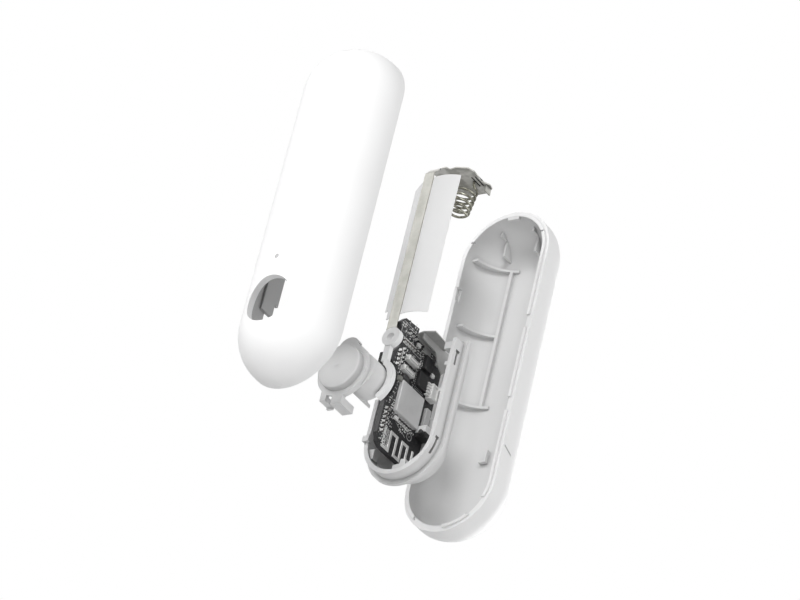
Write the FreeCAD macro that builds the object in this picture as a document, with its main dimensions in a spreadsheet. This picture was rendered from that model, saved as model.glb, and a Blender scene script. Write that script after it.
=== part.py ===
import FreeCAD, Part
import Sketcher
import math
import os

# Door and window sensor, taken apart along its depth.
# Millimetres. +X is to the right seen from the front, +Y runs into the wall and +Z is up.
# Every piece is drawn closed, with y = 0 at the back shell's rim, and its node then moves it to
# the row's frame, whose origin is the centre of the adhesive pad's wall face.

doc = FreeCAD.newDocument("door_and_window_sensor")
sheet = doc.addObject("Spreadsheet::Sheet", "sizes")

driving_sizes = {
    # case, as seen from the front
    "case_length": 82.0,
    "case_width": 23.28,
    # back shell
    "shell_depth": 10.0,
    "shell_wall": 1.46,
    "shell_floor": 1.0,
    "shell_outer_round": 7.2,
    "shell_inner_round": 8.4,
    "lip_step": 0.74,
    "lip_height": 0.5,
    "lip_gap_width": 3.4,
    "rib_thickness": 0.6,
    "rib_front": 1.8,
    "low_rib_rise": 24.7,
    "middle_rib_height": 13.74,
    "top_rib_rise": 1.7,
    "rib_root": 0.4,
    "pad_thickness": 0.8,
    "pad_inset": 0.24,
    # front cover
    "cover_wall": 1.6,
    "cover_skirt": 0.75,
    "cover_end_wall": 0.94,
    "fit": 0.05,
    "tab_width": 2.5,
    "tab_thickness": 0.8,
    "tab_reach": 1.0,
    "tab_gap": 0.08,
    "left_tab_drop": 8.51,
    "high_tab_height": 10.45,
    "low_tab_rise": 18.67,
    "tongue_reach": 2.0,
    "hole_radius": 5.4,
    "light_hole_radius": 0.5,
    "light_rise": 12.66,
    "post_radius": 1.4,
    "pin_radius": 0.78,
    "cover_rib_radius": 9.2,
    "low_cover_rib_rise": 28.9,
    "middle_cover_rib_height": 9.54,
    "high_cover_rib_drop": 5.32,
    # travel of each layer from the exploded rest to the closed case
    "module_travel": 18.5,
    "button_travel": 16.0,
    "cover_travel": 24.32,
    # button, placed from the centre of the lower round end
    "button_rise": 2.66,
    "button_clearance": 0.2,
    "dome_height": 0.3,
    "face_round": 0.45,
    "button_face": 10.1,
    "flange_radius": 6.3,
    "flange_front": 8.3,
    "flange_back": 7.1,
    "groove_depth": 0.75,
    "tube_side": 3.25,
    "tube_rise": 2.6,
    "tube_radius": 4.2,
    "tube_wall": 0.7,
    "tube_end": 2.1,
    "tube_slant": 2.6,
    "tube_fin_end": 1.4,
    "lug_side": 0.0,
    "lug_radius": 2.7,
    "lug_rise": 7.92,
    "leg_thickness": 1.7,
    "leg_drop": 5.6,
    "long_leg_end": 3.7,
    "short_leg_end": 5.0,
    "finger_radius": 0.6,
    "finger_end": 3.9,
    # arm that returns the button
    "arm_thickness": 1.2,
    "arm_width": 1.45,
    "arm_gap": 0.25,
    "arm_foot_side": 6.7,
    "eyelet_side": 6.3,
    "eyelet_rise": 12.96,
    "eyelet_radius": 2.2,
    "eyelet_height": 1.4,
    # carrier
    "rim_half_width": 9.0,
    "carrier_wall": 1.0,
    "rim_front": 1.6,
    "carrier_flange_half_width": 10.0,
    "carrier_flange_front": 1.2,
    "carrier_flange_thickness": 0.8,
    "bowl_radius": 8.7,
    "bowl_gap": 0.2,
    "bowl_round_depth": 7.6,
    "bowl_side_overlap": 2.0,
    "right_wall_rise": 23.4,
    "right_flange_rise": 24.3,
    "left_wall_rise": 10.36,
    # circuit board, on edge
    "board_face": -1.5,
    "board_thickness": 1.0,
    "board_clearance": 0.05,
    "board_back": 8.7,
    "board_front": 7.3,
    "board_drop": 4.54,
    # parts on the board
    "can_height": 0.9,
    "module_height": 0.8,
    "chip_height": 0.8,
    "small_chip_height": 0.45,
    "trace_width": 0.65,
    "trace_height": 0.1,
    "switch_reach": 2.6,
    "plunger_side": 0.4,
    "plunger_rise": 4.66,
    "plunger_radius": 0.5,
    "plunger_gap": 0.2,
    "pin_pitch": 0.7,
    "pin_size": 0.3,
    # battery space and its contacts, heights from the centres of the round ends
    "battery_radius": 8.5,
    "battery_back": 0.1,
    "cradle_clearance": 0.1,
    "film_thickness": 0.15,
    "film_radius": 8.68,
    "film_right_angle": 30.0,
    "film_left_angle": 16.0,
    "film_left_reach": 7.7,
    "film_bottom": 26.86,
    "film_top": 3.54,
    "strip_left": 4.7,
    "strip_width": 2.5,
    "strip_front": 8.65,
    "strip_thickness": 0.2,
    "strip_bottom": 22.86,
    "strip_bend_drop": 2.1,
    "plate_front": 7.05,
    "end_plate_rise": 6.94,
    "end_plate_thickness": 0.3,
    "positive_plate_height": 25.21,
    "positive_plate_thickness": 0.3,
    # battery spring
    "spring_wire": 0.55,
    "spring_wide_radius": 2.8,
    "spring_narrow_radius": 1.9,
    "spring_length": 6.6,
    "spring_turns": 5,
}


class Size:
    """a length that knows its value and the sheet expression that gives it"""

    def __init__(self, value, text):
        self.value = value
        self.text = text

    def joined(self, other, sign, value):
        return Size(value, "(" + self.text + " " + sign + " " + size(other).text + ")")

    def __add__(self, other):
        return self.joined(other, "+", self.value + size(other).value)

    def __sub__(self, other):
        return self.joined(other, "-", self.value - size(other).value)

    def __mul__(self, other):
        return self.joined(other, "*", self.value * size(other).value)

    def __truediv__(self, other):
        return self.joined(other, "/", self.value / size(other).value)

    def __radd__(self, other):
        return size(other) + self

    def __rsub__(self, other):
        return size(other) - self

    def __rmul__(self, other):
        return size(other) * self

    def __neg__(self):
        return Size(-self.value, "(0 - " + self.text + ")")


def size(thing):
    if isinstance(thing, Size):
        return thing
    return Size(float(thing), "(" + str(thing) + ")")


def root(thing):
    return Size(math.sqrt(thing.value), "sqrt(" + thing.text + ")")


class Named:
    """each driving size under its own name"""


s = Named()
for row, (alias, number) in enumerate(driving_sizes.items(), start=1):
    sheet.set("A" + str(row), alias)
    sheet.set("B" + str(row), str(number))
    sheet.setAlias("B" + str(row), alias)
    setattr(s, alias, Size(number, "sizes." + alias))
doc.recompute()

# Places that several pieces share
half_width = s.case_width / 2
low_end = -(s.case_length - s.case_width) / 2
top_end = -low_end
shell_inside = s.shell_depth - s.shell_floor
hollow_half_width = half_width - s.shell_wall
lip_half_width = half_width - s.lip_step
cover_inner_radius = half_width - s.cover_wall
case_front = s.cover_skirt + half_width
button_height = low_end + s.button_rise
boss_radius = s.hole_radius - s.button_clearance
tube_height = low_end + s.tube_rise
eyelet_height = low_end + s.eyelet_rise
board_rear_face = s.board_face - s.board_thickness
board_bottom = low_end - s.board_drop
plunger_height = low_end + s.plunger_rise
bowl_depth = shell_inside - s.bowl_gap
bowl_centre = bowl_depth - s.bowl_round_depth
end_plate = top_end + s.end_plate_rise
rim_inner = s.rim_half_width - s.carrier_wall
inner_limit = bowl_depth - s.carrier_wall - 0.1
cradle_radius = s.battery_radius + s.cradle_clearance
positive_plate = low_end + s.positive_plate_height
strip_low = low_end + s.strip_bottom
film_low = low_end + s.film_bottom
film_high = top_end + s.film_top

# The cover's tabs and the shell's gaps for them, as side and height
tab_places = ((-1, top_end - s.left_tab_drop), (1, s.high_tab_height), (1, low_end + s.low_tab_rise))

# How far each layer stands in front of the row's origin
shell_shift = -(s.pad_thickness + s.shell_depth)
module_shift = shell_shift - s.module_travel
button_shift = module_shift - s.button_travel
cover_shift = button_shift - s.cover_travel

nodes = []


def node(thing, name, shift):
    """name a finished piece and move it to its place at rest"""
    thing.Label = name
    thing.setExpression(".Placement.Base.y", shift.text)
    nodes.append(thing)
    return thing


def box(label, x, y, z):
    """a box between a low and a high value on each axis"""
    thing = doc.addObject("Part::Box", label)
    for side, base, (low, high) in zip(("Length", "Width", "Height"), "xyz", (x, y, z)):
        thing.setExpression(side, (size(high) - low).text)
        thing.setExpression(".Placement.Base." + base, size(low).text)
    return thing


def rod(label, axis, centre, radius, low, high):
    """a round bar along y or z, its centre as the two other coordinates"""
    thing = doc.addObject("Part::Cylinder", label)
    thing.setExpression("Radius", size(radius).text)
    thing.setExpression("Height", (size(high) - low).text)
    places = {"y": ("x", "z"), "z": ("x", "y")}[axis]
    for base, place in zip(places, centre):
        thing.setExpression(".Placement.Base." + base, size(place).text)
    if axis == "y":
        thing.Placement.Rotation = FreeCAD.Rotation(FreeCAD.Vector(1, 0, 0), -90)
    thing.setExpression(".Placement.Base." + axis, size(low).text)
    return thing


def fuse(label, things):
    thing = doc.addObject("Part::MultiFuse", label)
    thing.Shapes = things
    return thing


def cut(label, base, tool):
    thing = doc.addObject("Part::Cut", label)
    thing.Base = base
    thing.Tool = tool
    return thing


def overlap(label, first, second):
    thing = doc.addObject("Part::Common", label)
    thing.Base = first
    thing.Tool = second
    return thing


def drawn(body, label, role, lift):
    """a sketch on one of the body's own origin planes, lifted along the plane's normal"""
    sketch = body.newObject("Sketcher::SketchObject", label + "_outline")
    plane = [face for face in body.Origin.OriginFeatures if face.Role == role][0]
    sketch.AttachmentSupport = [(plane, "")]
    sketch.MapMode = "FlatFace"
    sketch.setExpression(".AttachmentOffset.Base.z", size(lift).text)
    return sketch


def pin_value(sketch, kind, items, length):
    """add one dimension and bind it to the sheet"""
    index = sketch.addConstraint(Sketcher.Constraint(kind, *items, length.value))
    sketch.setExpression("Constraints[" + str(index) + "]", length.text)


def slab(label, radius, run, near, far, edge_round=None):
    """a plate with round ends, from y = near to y = far, its far edge rounded where asked"""
    radius = size(radius)
    run = size(run)
    body = doc.addObject("PartDesign::Body", label)
    sketch = drawn(body, label, "XZ_Plane", -size(far))
    r = radius.value
    c = run.value
    axis = FreeCAD.Vector(0, 0, 1)
    top = Part.Circle(FreeCAD.Vector(0, c, 0), axis, r)
    low = Part.Circle(FreeCAD.Vector(0, -c, 0), axis, r)
    sketch.addGeometry(Part.ArcOfCircle(top, 0, math.pi))
    sketch.addGeometry(Part.LineSegment(FreeCAD.Vector(-r, c, 0), FreeCAD.Vector(-r, -c, 0)))
    sketch.addGeometry(Part.ArcOfCircle(low, math.pi, 2 * math.pi))
    sketch.addGeometry(Part.LineSegment(FreeCAD.Vector(r, -c, 0), FreeCAD.Vector(r, c, 0)))
    for first, first_end, second, second_end in ((0, 2, 1, 1), (1, 2, 2, 1), (2, 2, 3, 1), (3, 2, 0, 1)):
        sketch.addConstraint(Sketcher.Constraint("Tangent", first, first_end, second, second_end))
    sketch.addConstraint(Sketcher.Constraint("Vertical", 1))
    sketch.addConstraint(Sketcher.Constraint("PointOnObject", 0, 3, -2))
    sketch.addConstraint(Sketcher.Constraint("Symmetric", 0, 3, 2, 3, -1, 1))
    pin_value(sketch, "Radius", (0,), radius)
    pin_value(sketch, "DistanceY", (-1, 1, 0, 3), run)
    pad = body.newObject("PartDesign::Pad", label + "_pad")
    pad.Profile = sketch
    pad.setExpression("Length", (size(far) - near).text)
    body.Tip = pad
    if edge_round is None:
        return body
    doc.recompute()
    level = size(far).value
    names = []
    for index, edge in enumerate(pad.Shape.Edges, start=1):
        bounds = edge.BoundBox
        if abs(bounds.YMin - level) < 0.001 and abs(bounds.YMax - level) < 0.001:
            names.append("Edge" + str(index))
    rounded = body.newObject("PartDesign::Fillet", label + "_round")
    rounded.Base = (pad, names)
    rounded.setExpression("Radius", size(edge_round).text)
    body.Tip = rounded
    return body


def half_capsule(label, radius, run, flat_y, to_back=False):
    """half of a round bar with round ends, lying along z, its flat face at y = flat_y"""
    radius = size(radius)
    run = size(run)
    body = doc.addObject("PartDesign::Body", label)
    sketch = drawn(body, label, "XZ_Plane", 0)
    r = radius.value
    c = run.value
    axis = FreeCAD.Vector(0, 0, 1)
    top = Part.Circle(FreeCAD.Vector(0, c, 0), axis, r)
    low = Part.Circle(FreeCAD.Vector(0, -c, 0), axis, r)
    sketch.addGeometry(Part.ArcOfCircle(top, 0, math.pi / 2))
    sketch.addGeometry(Part.LineSegment(FreeCAD.Vector(0, c + r, 0), FreeCAD.Vector(0, -c - r, 0)))
    sketch.addGeometry(Part.ArcOfCircle(low, 1.5 * math.pi, 2 * math.pi))
    sketch.addGeometry(Part.LineSegment(FreeCAD.Vector(r, -c, 0), FreeCAD.Vector(r, c, 0)))
    sketch.addConstraint(Sketcher.Constraint("Tangent", 2, 2, 3, 1))
    sketch.addConstraint(Sketcher.Constraint("Tangent", 3, 2, 0, 1))
    sketch.addConstraint(Sketcher.Constraint("Coincident", 0, 2, 1, 1))
    sketch.addConstraint(Sketcher.Constraint("Coincident", 1, 2, 2, 1))
    sketch.addConstraint(Sketcher.Constraint("Vertical", 3))
    for geometry, point in ((0, 3), (2, 3), (0, 2), (2, 1)):
        sketch.addConstraint(Sketcher.Constraint("PointOnObject", geometry, point, -2))
    pin_value(sketch, "Radius", (0,), radius)
    pin_value(sketch, "DistanceY", (-1, 1, 0, 3), run)
    pin_value(sketch, "DistanceY", (2, 3, -1, 1), run)
    turned = body.newObject("PartDesign::Revolution", label + "_turn")
    turned.Profile = sketch
    turned.ReferenceAxis = (sketch, ["V_Axis"])
    turned.Angle = 180
    turned.Reversed = not to_back
    body.Tip = turned
    body.setExpression(".Placement.Base.y", size(flat_y).text)
    return body


def plate(label, role, points, low, high):
    """a flat piece with a cornered outline, between two levels along the plane's normal"""
    body = doc.addObject("PartDesign::Body", label)
    sketch = drawn(body, label, role, low)
    corners = [(size(u), size(v)) for u, v in points]
    count = len(corners)
    for index in range(count):
        here = corners[index]
        there = corners[(index + 1) % count]
        start = FreeCAD.Vector(here[0].value, here[1].value, 0)
        end = FreeCAD.Vector(there[0].value, there[1].value, 0)
        sketch.addGeometry(Part.LineSegment(start, end))
    for index in range(count):
        following = (index + 1) % count
        sketch.addConstraint(Sketcher.Constraint("Coincident", index, 2, following, 1))
    for index, corner in enumerate(corners):
        for kind, length, line in (("DistanceX", corner[0], -2), ("DistanceY", corner[1], -1)):
            if abs(length.value) < 1e-6:
                sketch.addConstraint(Sketcher.Constraint("PointOnObject", index, 1, line))
            elif length.value > 0:
                pin_value(sketch, kind, (-1, 1, index, 1), length)
            else:
                pin_value(sketch, kind, (index, 1, -1, 1), -length)
    pad = body.newObject("PartDesign::Pad", label + "_pad")
    pad.Profile = sketch
    pad.setExpression("Length", (size(high) - low).text)
    body.Tip = pad
    return body


def back_shell():
    run = top_end
    outside = slab("shell_outside", half_width, run, 0, s.shell_depth, s.shell_outer_round)
    lip = slab("shell_lip", lip_half_width, run, -s.lip_height, s.shell_floor)
    hollow_front = -s.lip_height * 3
    hollow = slab("shell_hollow", hollow_half_width, run, hollow_front, shell_inside, s.shell_inner_round)
    blank = cut("shell_blank", fuse("shell_with_lip", [outside, lip]), hollow)
    # ribs under the battery, cut to its round, and the stepped ribs at the top end
    ribs = []
    thick = s.rib_thickness / 2
    rib_y = (s.rib_front, s.shell_depth)
    rib_places = (low_end + s.low_rib_rise, s.middle_rib_height, top_end + s.top_rib_rise)
    long_x = (-3.7, -3.7 + s.rib_thickness)
    for place, right in zip(rib_places, (-1.6, -3.4, -1.7)):
        ribs.append(box("cross_rib", (-half_width, right), rib_y, (place - thick, place + thick)))
    ribs.append(box("long_rib", long_x, rib_y, (rib_places[0], rib_places[2])))
    for side in (-4.2, 4.2):
        across = (side - 0.25, side + 0.25)
        ribs.append(box("end_rib", across, (5.0, s.shell_depth), (top_end + 3.95, top_end + 9.5)))
        ribs.append(box("end_rib_step", across, (2.66, s.shell_depth), (end_plate + 0.81, top_end + 9.5)))
    hook_y = (shell_inside - 1.1, s.shell_depth)
    ribs.append(box("hook_stem", (1.0, 1.5), hook_y, (low_end + 10.1, low_end + 13.1)))
    ribs.append(box("hook_foot", (-0.4, 1.5), hook_y, (low_end + 10.1, low_end + 10.6)))
    reach = hollow_half_width + s.rib_root
    envelope = slab("rib_envelope", reach, run, -1, shell_inside + s.rib_root, s.shell_inner_round)
    battery = rod("battery_round", "z", (0, s.battery_back), cradle_radius, low_end + 20, top_end + 3.9)
    ribs = cut("ribs_cut", overlap("ribs_inside", fuse("ribs_all", ribs), envelope), battery)
    catch_z = (top_end + hollow_half_width - 0.8, top_end + hollow_half_width + 0.3)
    catch = box("end_catch", (-0.9, 2.0), (-s.lip_height, 0.3), catch_z)
    # gaps in the lip and catch pockets where the cover's tabs enter, and the pry mark outside
    gaps = []
    gap_half = s.lip_gap_width / 2
    for side, place in tab_places:
        low = hollow_half_width * side
        edges = (low - 0.2, low + 1.2) if side > 0 else (low - 0.72, low + 0.2)
        pocket = (low - 0.2, low + 0.4) if side > 0 else (low - 0.4, low + 0.2)
        gaps.append(box("lip_gap", edges, (-1, 0 if side > 0 else 0.7), (place - gap_half, place + gap_half)))
        gaps.append(box("catch_pocket", pocket, (0.3, 0.9), (place - gap_half, place + gap_half)))
    for side in (-1, 1):
        edge = hollow_half_width * side * 0.87
        gaps.append(box("lip_slit", (edge - 0.8, edge + 0.8), (-1, 0.1), (top_end + 4.6, top_end + 5.1)))
    gaps.append(box("end_lip_gap", (-7.4, 0.6), (-1, 0), (low_end - half_width, low_end - 7.2)))
    gaps.append(box("side_lip_gap", (6.2, half_width), (-1, 0), (low_end - 8.4, low_end - 4.4)))
    mark = ((0.6, low_end + 8.4), (3.5, low_end + 7.3), (3.5, low_end + 7.7), (0.6, low_end + 8.8))
    gaps.append(plate("pry_mark", "YZ_Plane", mark, half_width - 0.45, half_width + 1))
    shell = cut("shell_gapped", blank, fuse("shell_gaps", gaps))
    return node(fuse("shell_piece", [shell, ribs, catch]), "back_shell", shell_shift)


def adhesive_pad():
    flat = half_width - s.shell_outer_round - s.pad_inset
    pad = slab("pad_piece", flat, top_end, s.shell_depth, s.shell_depth + s.pad_thickness)
    return node(pad, "adhesive_pad", shell_shift)


def front_cover():
    run = top_end
    flat = -s.cover_skirt
    skirt = slab("cover_skirt_outside", half_width, run, flat, 0)
    outside = fuse("cover_outside", [half_capsule("cover_dome", half_width, run, flat), skirt])
    dome = half_capsule("cover_hollow_dome", cover_inner_radius, run, flat)
    throat = slab("cover_throat", cover_inner_radius, run, flat, 1)
    rabbet = slab("cover_rabbet", lip_half_width + s.fit, run, flat, 1)
    end_dome = half_capsule("end_relief_dome", half_width - s.cover_end_wall, run, flat)
    end_zone = box("end_relief_zone", (-7, 7), (-case_front, flat), (top_end + 2.4, top_end + half_width))
    end_relief = overlap("end_relief", end_dome, end_zone)
    shell = cut("cover_shell", outside, fuse("cover_hollow", [dome, throat, rabbet, end_relief]))
    # inner details, held inside the wall
    details = []
    pin_end = s.tube_end - s.button_clearance
    post_end = s.tube_end + s.eyelet_height + s.arm_gap
    eyelet = (s.eyelet_side, eyelet_height)
    details.append(rod("arm_post", "y", eyelet, s.post_radius, -case_front, -post_end))
    details.append(rod("arm_pin", "y", eyelet, s.pin_radius, -post_end - 1, -pin_end))
    thick = s.rib_thickness / 2
    rib_bore = rod("cover_rib_bore", "z", (0, s.battery_back), s.cover_rib_radius, low_end, top_end)
    ribs = []
    rib_places = (low_end + s.low_cover_rib_rise, s.middle_cover_rib_height, top_end - s.high_cover_rib_drop)
    for place in rib_places:
        spans = (-1.2, half_width), (-case_front, flat - 0.2), (place - thick, place + thick)
        ribs.append(box("cover_rib", *spans))
    details.append(cut("cover_ribs", fuse("cover_ribs_blank", ribs), rib_bore))
    inner = hollow_half_width - s.tab_gap
    for side, place in tab_places:
        across = (inner - s.tab_thickness, inner) if side > 0 else (-inner, -inner + s.tab_thickness)
        along = (place - s.tab_width / 2, place + s.tab_width / 2)
        details.append(box("cover_tab", across, (flat - 2, s.tab_reach), along))
    # long tongue down the left side, deeper above the carrier's left wall
    tongue_x = (-inner, -inner + s.tab_thickness)
    tongue_turn = low_end + s.left_wall_rise + 0.24
    tongue_ends = (low_end + 7.6, low_end + 19)
    details.append(box("tongue", tongue_x, (flat - 2, s.tab_reach), tongue_ends))
    details.append(box("tongue_deep", tongue_x, (flat - 2, s.tongue_reach), (tongue_turn, tongue_ends[1])))
    details = fuse("cover_details", details)
    grown = cover_inner_radius + s.rib_root
    limit_dome = half_capsule("detail_limit_dome", grown, run, flat)
    limit_far = shell_inside - s.tab_gap
    limit_skirt = slab("detail_limit_skirt", inner, run, flat, limit_far, s.shell_inner_round - s.tab_gap)
    details = overlap("cover_details_inside", details, fuse("detail_limit", [limit_dome, limit_skirt]))
    bore = rod("button_bore", "y", (0, button_height), s.hole_radius, -case_front - 1, -s.flange_back)
    light_place = (0, low_end + s.light_rise)
    light = rod("light_bore", "y", light_place, s.light_hole_radius, -case_front - 1, -case_front / 2)
    holes = fuse("cover_holes", [bore, light])
    cover = cut("cover_open", fuse("cover_whole", [shell, details]), holes)
    return node(cover, "front_cover", cover_shift)


def light_pipe():
    place = (0, low_end + s.light_rise)
    wall_front = s.cover_skirt + cover_inner_radius
    stem = rod("pipe_stem", "y", place, s.light_hole_radius - s.fit, -case_front + 0.06, -wall_front + 1.2)
    collar = rod("pipe_collar", "y", place, s.light_hole_radius * 2, -wall_front + 0.1, -wall_front + 0.6)
    return node(fuse("pipe_piece", [stem, collar]), "light_pipe", cover_shift)


def button_head():
    """the round push face with its slight dome, and the flange that keeps it behind the cover"""
    body = doc.addObject("PartDesign::Body", "button_head")
    sketch = drawn(body, "button_head", "XY_Plane", 0)
    top = s.button_face + s.dome_height
    dome_radius = (boss_radius * boss_radius + s.dome_height * s.dome_height) / (s.dome_height * 2)
    corners = (
        (0.0, -s.flange_back.value),
        (s.flange_radius.value, -s.flange_back.value),
        (s.flange_radius.value, -s.flange_front.value),
        (boss_radius.value, -s.flange_front.value),
        (boss_radius.value, -s.button_face.value),
    )
    for here, there in zip(corners, corners[1:]):
        sketch.addGeometry(Part.LineSegment(FreeCAD.Vector(*here, 0), FreeCAD.Vector(*there, 0)))
    centre = FreeCAD.Vector(0, dome_radius.value - top.value, 0)
    circle = Part.Circle(centre, FreeCAD.Vector(0, 0, 1), dome_radius.value)
    rim_angle = 2 * math.pi - math.acos(boss_radius.value / dome_radius.value)
    sketch.addGeometry(Part.ArcOfCircle(circle, 1.5 * math.pi, rim_angle))
    sketch.addGeometry(Part.LineSegment(FreeCAD.Vector(0, -top.value, 0), FreeCAD.Vector(*corners[0], 0)))
    for first, first_end, second, second_end in (
        (0, 2, 1, 1), (1, 2, 2, 1), (2, 2, 3, 1), (3, 2, 4, 2), (4, 1, 5, 1), (5, 2, 0, 1),
    ):
        sketch.addConstraint(Sketcher.Constraint("Coincident", first, first_end, second, second_end))
    for kind, lines in (("Horizontal", (0, 2)), ("Vertical", (1, 3, 5))):
        for line in lines:
            sketch.addConstraint(Sketcher.Constraint(kind, line))
    sketch.addConstraint(Sketcher.Constraint("PointOnObject", 0, 1, -2))
    sketch.addConstraint(Sketcher.Constraint("PointOnObject", 4, 3, -2))
    pin_value(sketch, "DistanceX", (-1, 1, 1, 1), s.flange_radius)
    pin_value(sketch, "DistanceX", (-1, 1, 3, 1), boss_radius)
    pin_value(sketch, "DistanceY", (0, 1, -1, 1), s.flange_back)
    pin_value(sketch, "DistanceY", (2, 1, -1, 1), s.flange_front)
    pin_value(sketch, "DistanceY", (3, 2, -1, 1), s.button_face)
    pin_value(sketch, "DistanceY", (4, 1, -1, 1), top)
    turned = body.newObject("PartDesign::Revolution", "button_head_turn")
    turned.Profile = sketch
    turned.ReferenceAxis = (sketch, ["V_Axis"])
    turned.Angle = 360
    body.Tip = turned
    doc.recompute()
    rim = []
    for index, edge in enumerate(turned.Shape.Edges, start=1):
        bounds = edge.BoundBox
        if abs(bounds.YMin + s.button_face.value) < 0.001 and abs(bounds.YMax + s.button_face.value) < 0.001:
            rim.append("Edge" + str(index))
    rounded = body.newObject("PartDesign::Fillet", "button_head_round")
    rounded.Base = (turned, rim)
    rounded.setExpression("Radius", s.face_round.text)
    body.Tip = rounded
    body.setExpression(".Placement.Base.z", button_height.text)
    return body


def button_cap():
    tube_centre = (s.tube_side, tube_height)
    root_y = -s.flange_back - 0.2
    bore_y = (-s.flange_back + 0.2, s.tube_fin_end + 1)
    tube = rod("tube", "y", tube_centre, s.tube_radius, root_y, -s.tube_end)
    long_tube = rod("long_tube", "y", tube_centre, s.tube_radius, root_y, s.tube_fin_end)
    bore = rod("tube_bore", "y", tube_centre, s.tube_radius - s.tube_wall, *bore_y)
    # the tube's far end slants forward above its middle, and a fin of its wall runs on below
    far = -s.tube_end
    above = tube_height + s.tube_radius + 1
    slant = ((far - s.tube_slant, above), (far, tube_height), (far + 1, tube_height), (far + 1, above))
    tube_x = (s.tube_side - s.tube_radius - 1, s.tube_side + s.tube_radius + 1)
    tube_slanted = cut("tube_slanted", tube, plate("tube_slant", "YZ_Plane", slant, *tube_x))
    fin_x = (s.tube_side - s.tube_radius - 1, s.tube_side - 2.0)
    fin_z = (tube_height - s.tube_radius - 1, tube_height)
    fin_zone = box("fin_zone", fin_x, (far - 0.5, s.tube_fin_end + 1), fin_z)
    fin = overlap("fin", long_tube, fin_zone)
    tube_open = cut("tube_open", fuse("tube_and_fin", [tube_slanted, fin]), bore)
    lug_top = low_end + s.lug_rise
    lug_y = (-s.flange_front, -s.flange_back)
    lug = rod("lug", "y", (s.lug_side, lug_top), s.lug_radius, *lug_y)
    # two legs that straddle the board, the right one longer
    leg_low = low_end - s.leg_drop
    leg_z = (leg_low, leg_low + s.leg_thickness)
    board_side = s.board_face + s.board_clearance * 8
    long_x = (board_side, board_side + 2.6)
    long_root = box("long_leg_root", long_x, lug_y, (leg_low, button_height - s.flange_radius + 0.6))
    long_leg = box("long_leg", long_x, (-s.flange_front, -s.long_leg_end), leg_z)
    rear_side = board_rear_face - s.board_clearance * 4
    short_x = (rear_side - 1.5, rear_side)
    short_low = leg_low + 1.2
    short_root = box("short_leg_root", short_x, lug_y, (short_low, button_height - s.flange_radius * 0.6))
    short_leg = box("short_leg", short_x, (-s.flange_front, -s.short_leg_end), (short_low, short_low + 1.2))
    hook_y = (-s.short_leg_end - 0.6, -s.short_leg_end)
    hook = box("short_leg_hook", short_x, hook_y, (short_low - 0.4, short_low + 0.2))
    finger_place = (s.plunger_side, plunger_height)
    finger = rod("finger", "y", finger_place, s.finger_radius, -s.flange_back - 0.1, s.finger_end)
    pieces = [button_head(), tube_open, lug, long_root, long_leg, short_root, short_leg, hook, finger]
    groove_x = (board_rear_face - s.board_clearance * 7, s.board_face + s.board_clearance * 7)
    groove_z = (button_height - s.flange_radius, button_height + s.flange_radius)
    groove = box("board_groove", groove_x, (-s.flange_back - s.groove_depth, -s.flange_back + 0.1), groove_z)
    slot_x = (s.lug_side + s.lug_radius - 0.45, s.lug_side + s.lug_radius + 0.5)
    slot = box("lug_slot", slot_x, (-s.flange_front - 1, 0), (lug_top + 0.6, lug_top + 1.1))
    cap = cut("cap_piece", fuse("cap_solid", pieces), fuse("cap_cuts", [groove, slot]))
    return node(cap, "button_cap", button_shift)


def button_spring_arm():
    back = -s.tube_end
    front = back - s.arm_thickness
    inner = s.tube_radius + s.arm_gap
    outer = inner + s.arm_width
    tube_centre = (s.tube_side, tube_height)
    eyelet = (s.eyelet_side, eyelet_height)
    ring = rod("arm_ring", "y", tube_centre, outer, front, back)
    ring_bore = rod("arm_ring_bore", "y", tube_centre, inner, front - 1, back + 1)
    stem_side = s.eyelet_side - 0.4
    mid = inner + s.arm_width / 2
    right = s.tube_side + outer
    deep = (front, back)
    high_zone = box("arm_high_zone", (stem_side, right), deep, (tube_height, tube_height + outer))
    low_zone = box("arm_low_zone", (s.arm_foot_side, right), deep, (tube_height - outer, tube_height + 0.1))
    ring_open = cut("arm_ring_open", ring, ring_bore)
    bend = overlap("arm_bend", ring_open, fuse("arm_zones", [high_zone, low_zone]))
    stem_reach = stem_side - s.tube_side
    rise = root(mid * mid - stem_reach * stem_reach)
    stem_x = (stem_side - s.arm_width / 2, stem_side + s.arm_width / 2)
    stem = box("arm_stem", stem_x, (front, back), (tube_height + rise, eyelet_height))
    foot_reach = s.arm_foot_side - s.tube_side
    drop = root(mid * mid - foot_reach * foot_reach)
    foot = rod("arm_foot", "y", (s.arm_foot_side, tube_height - drop), s.arm_width / 2, front, back)
    boss = rod("eyelet_boss", "y", eyelet, s.eyelet_radius, back - s.eyelet_height, back)
    hole = rod("eyelet_hole", "y", eyelet, s.pin_radius + s.fit + 0.02, back - 3, back + 1)
    arm = cut("arm_piece", fuse("arm_solid", [bend, stem, foot, boss]), hole)
    return node(arm, "button_spring_arm", button_shift)


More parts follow.
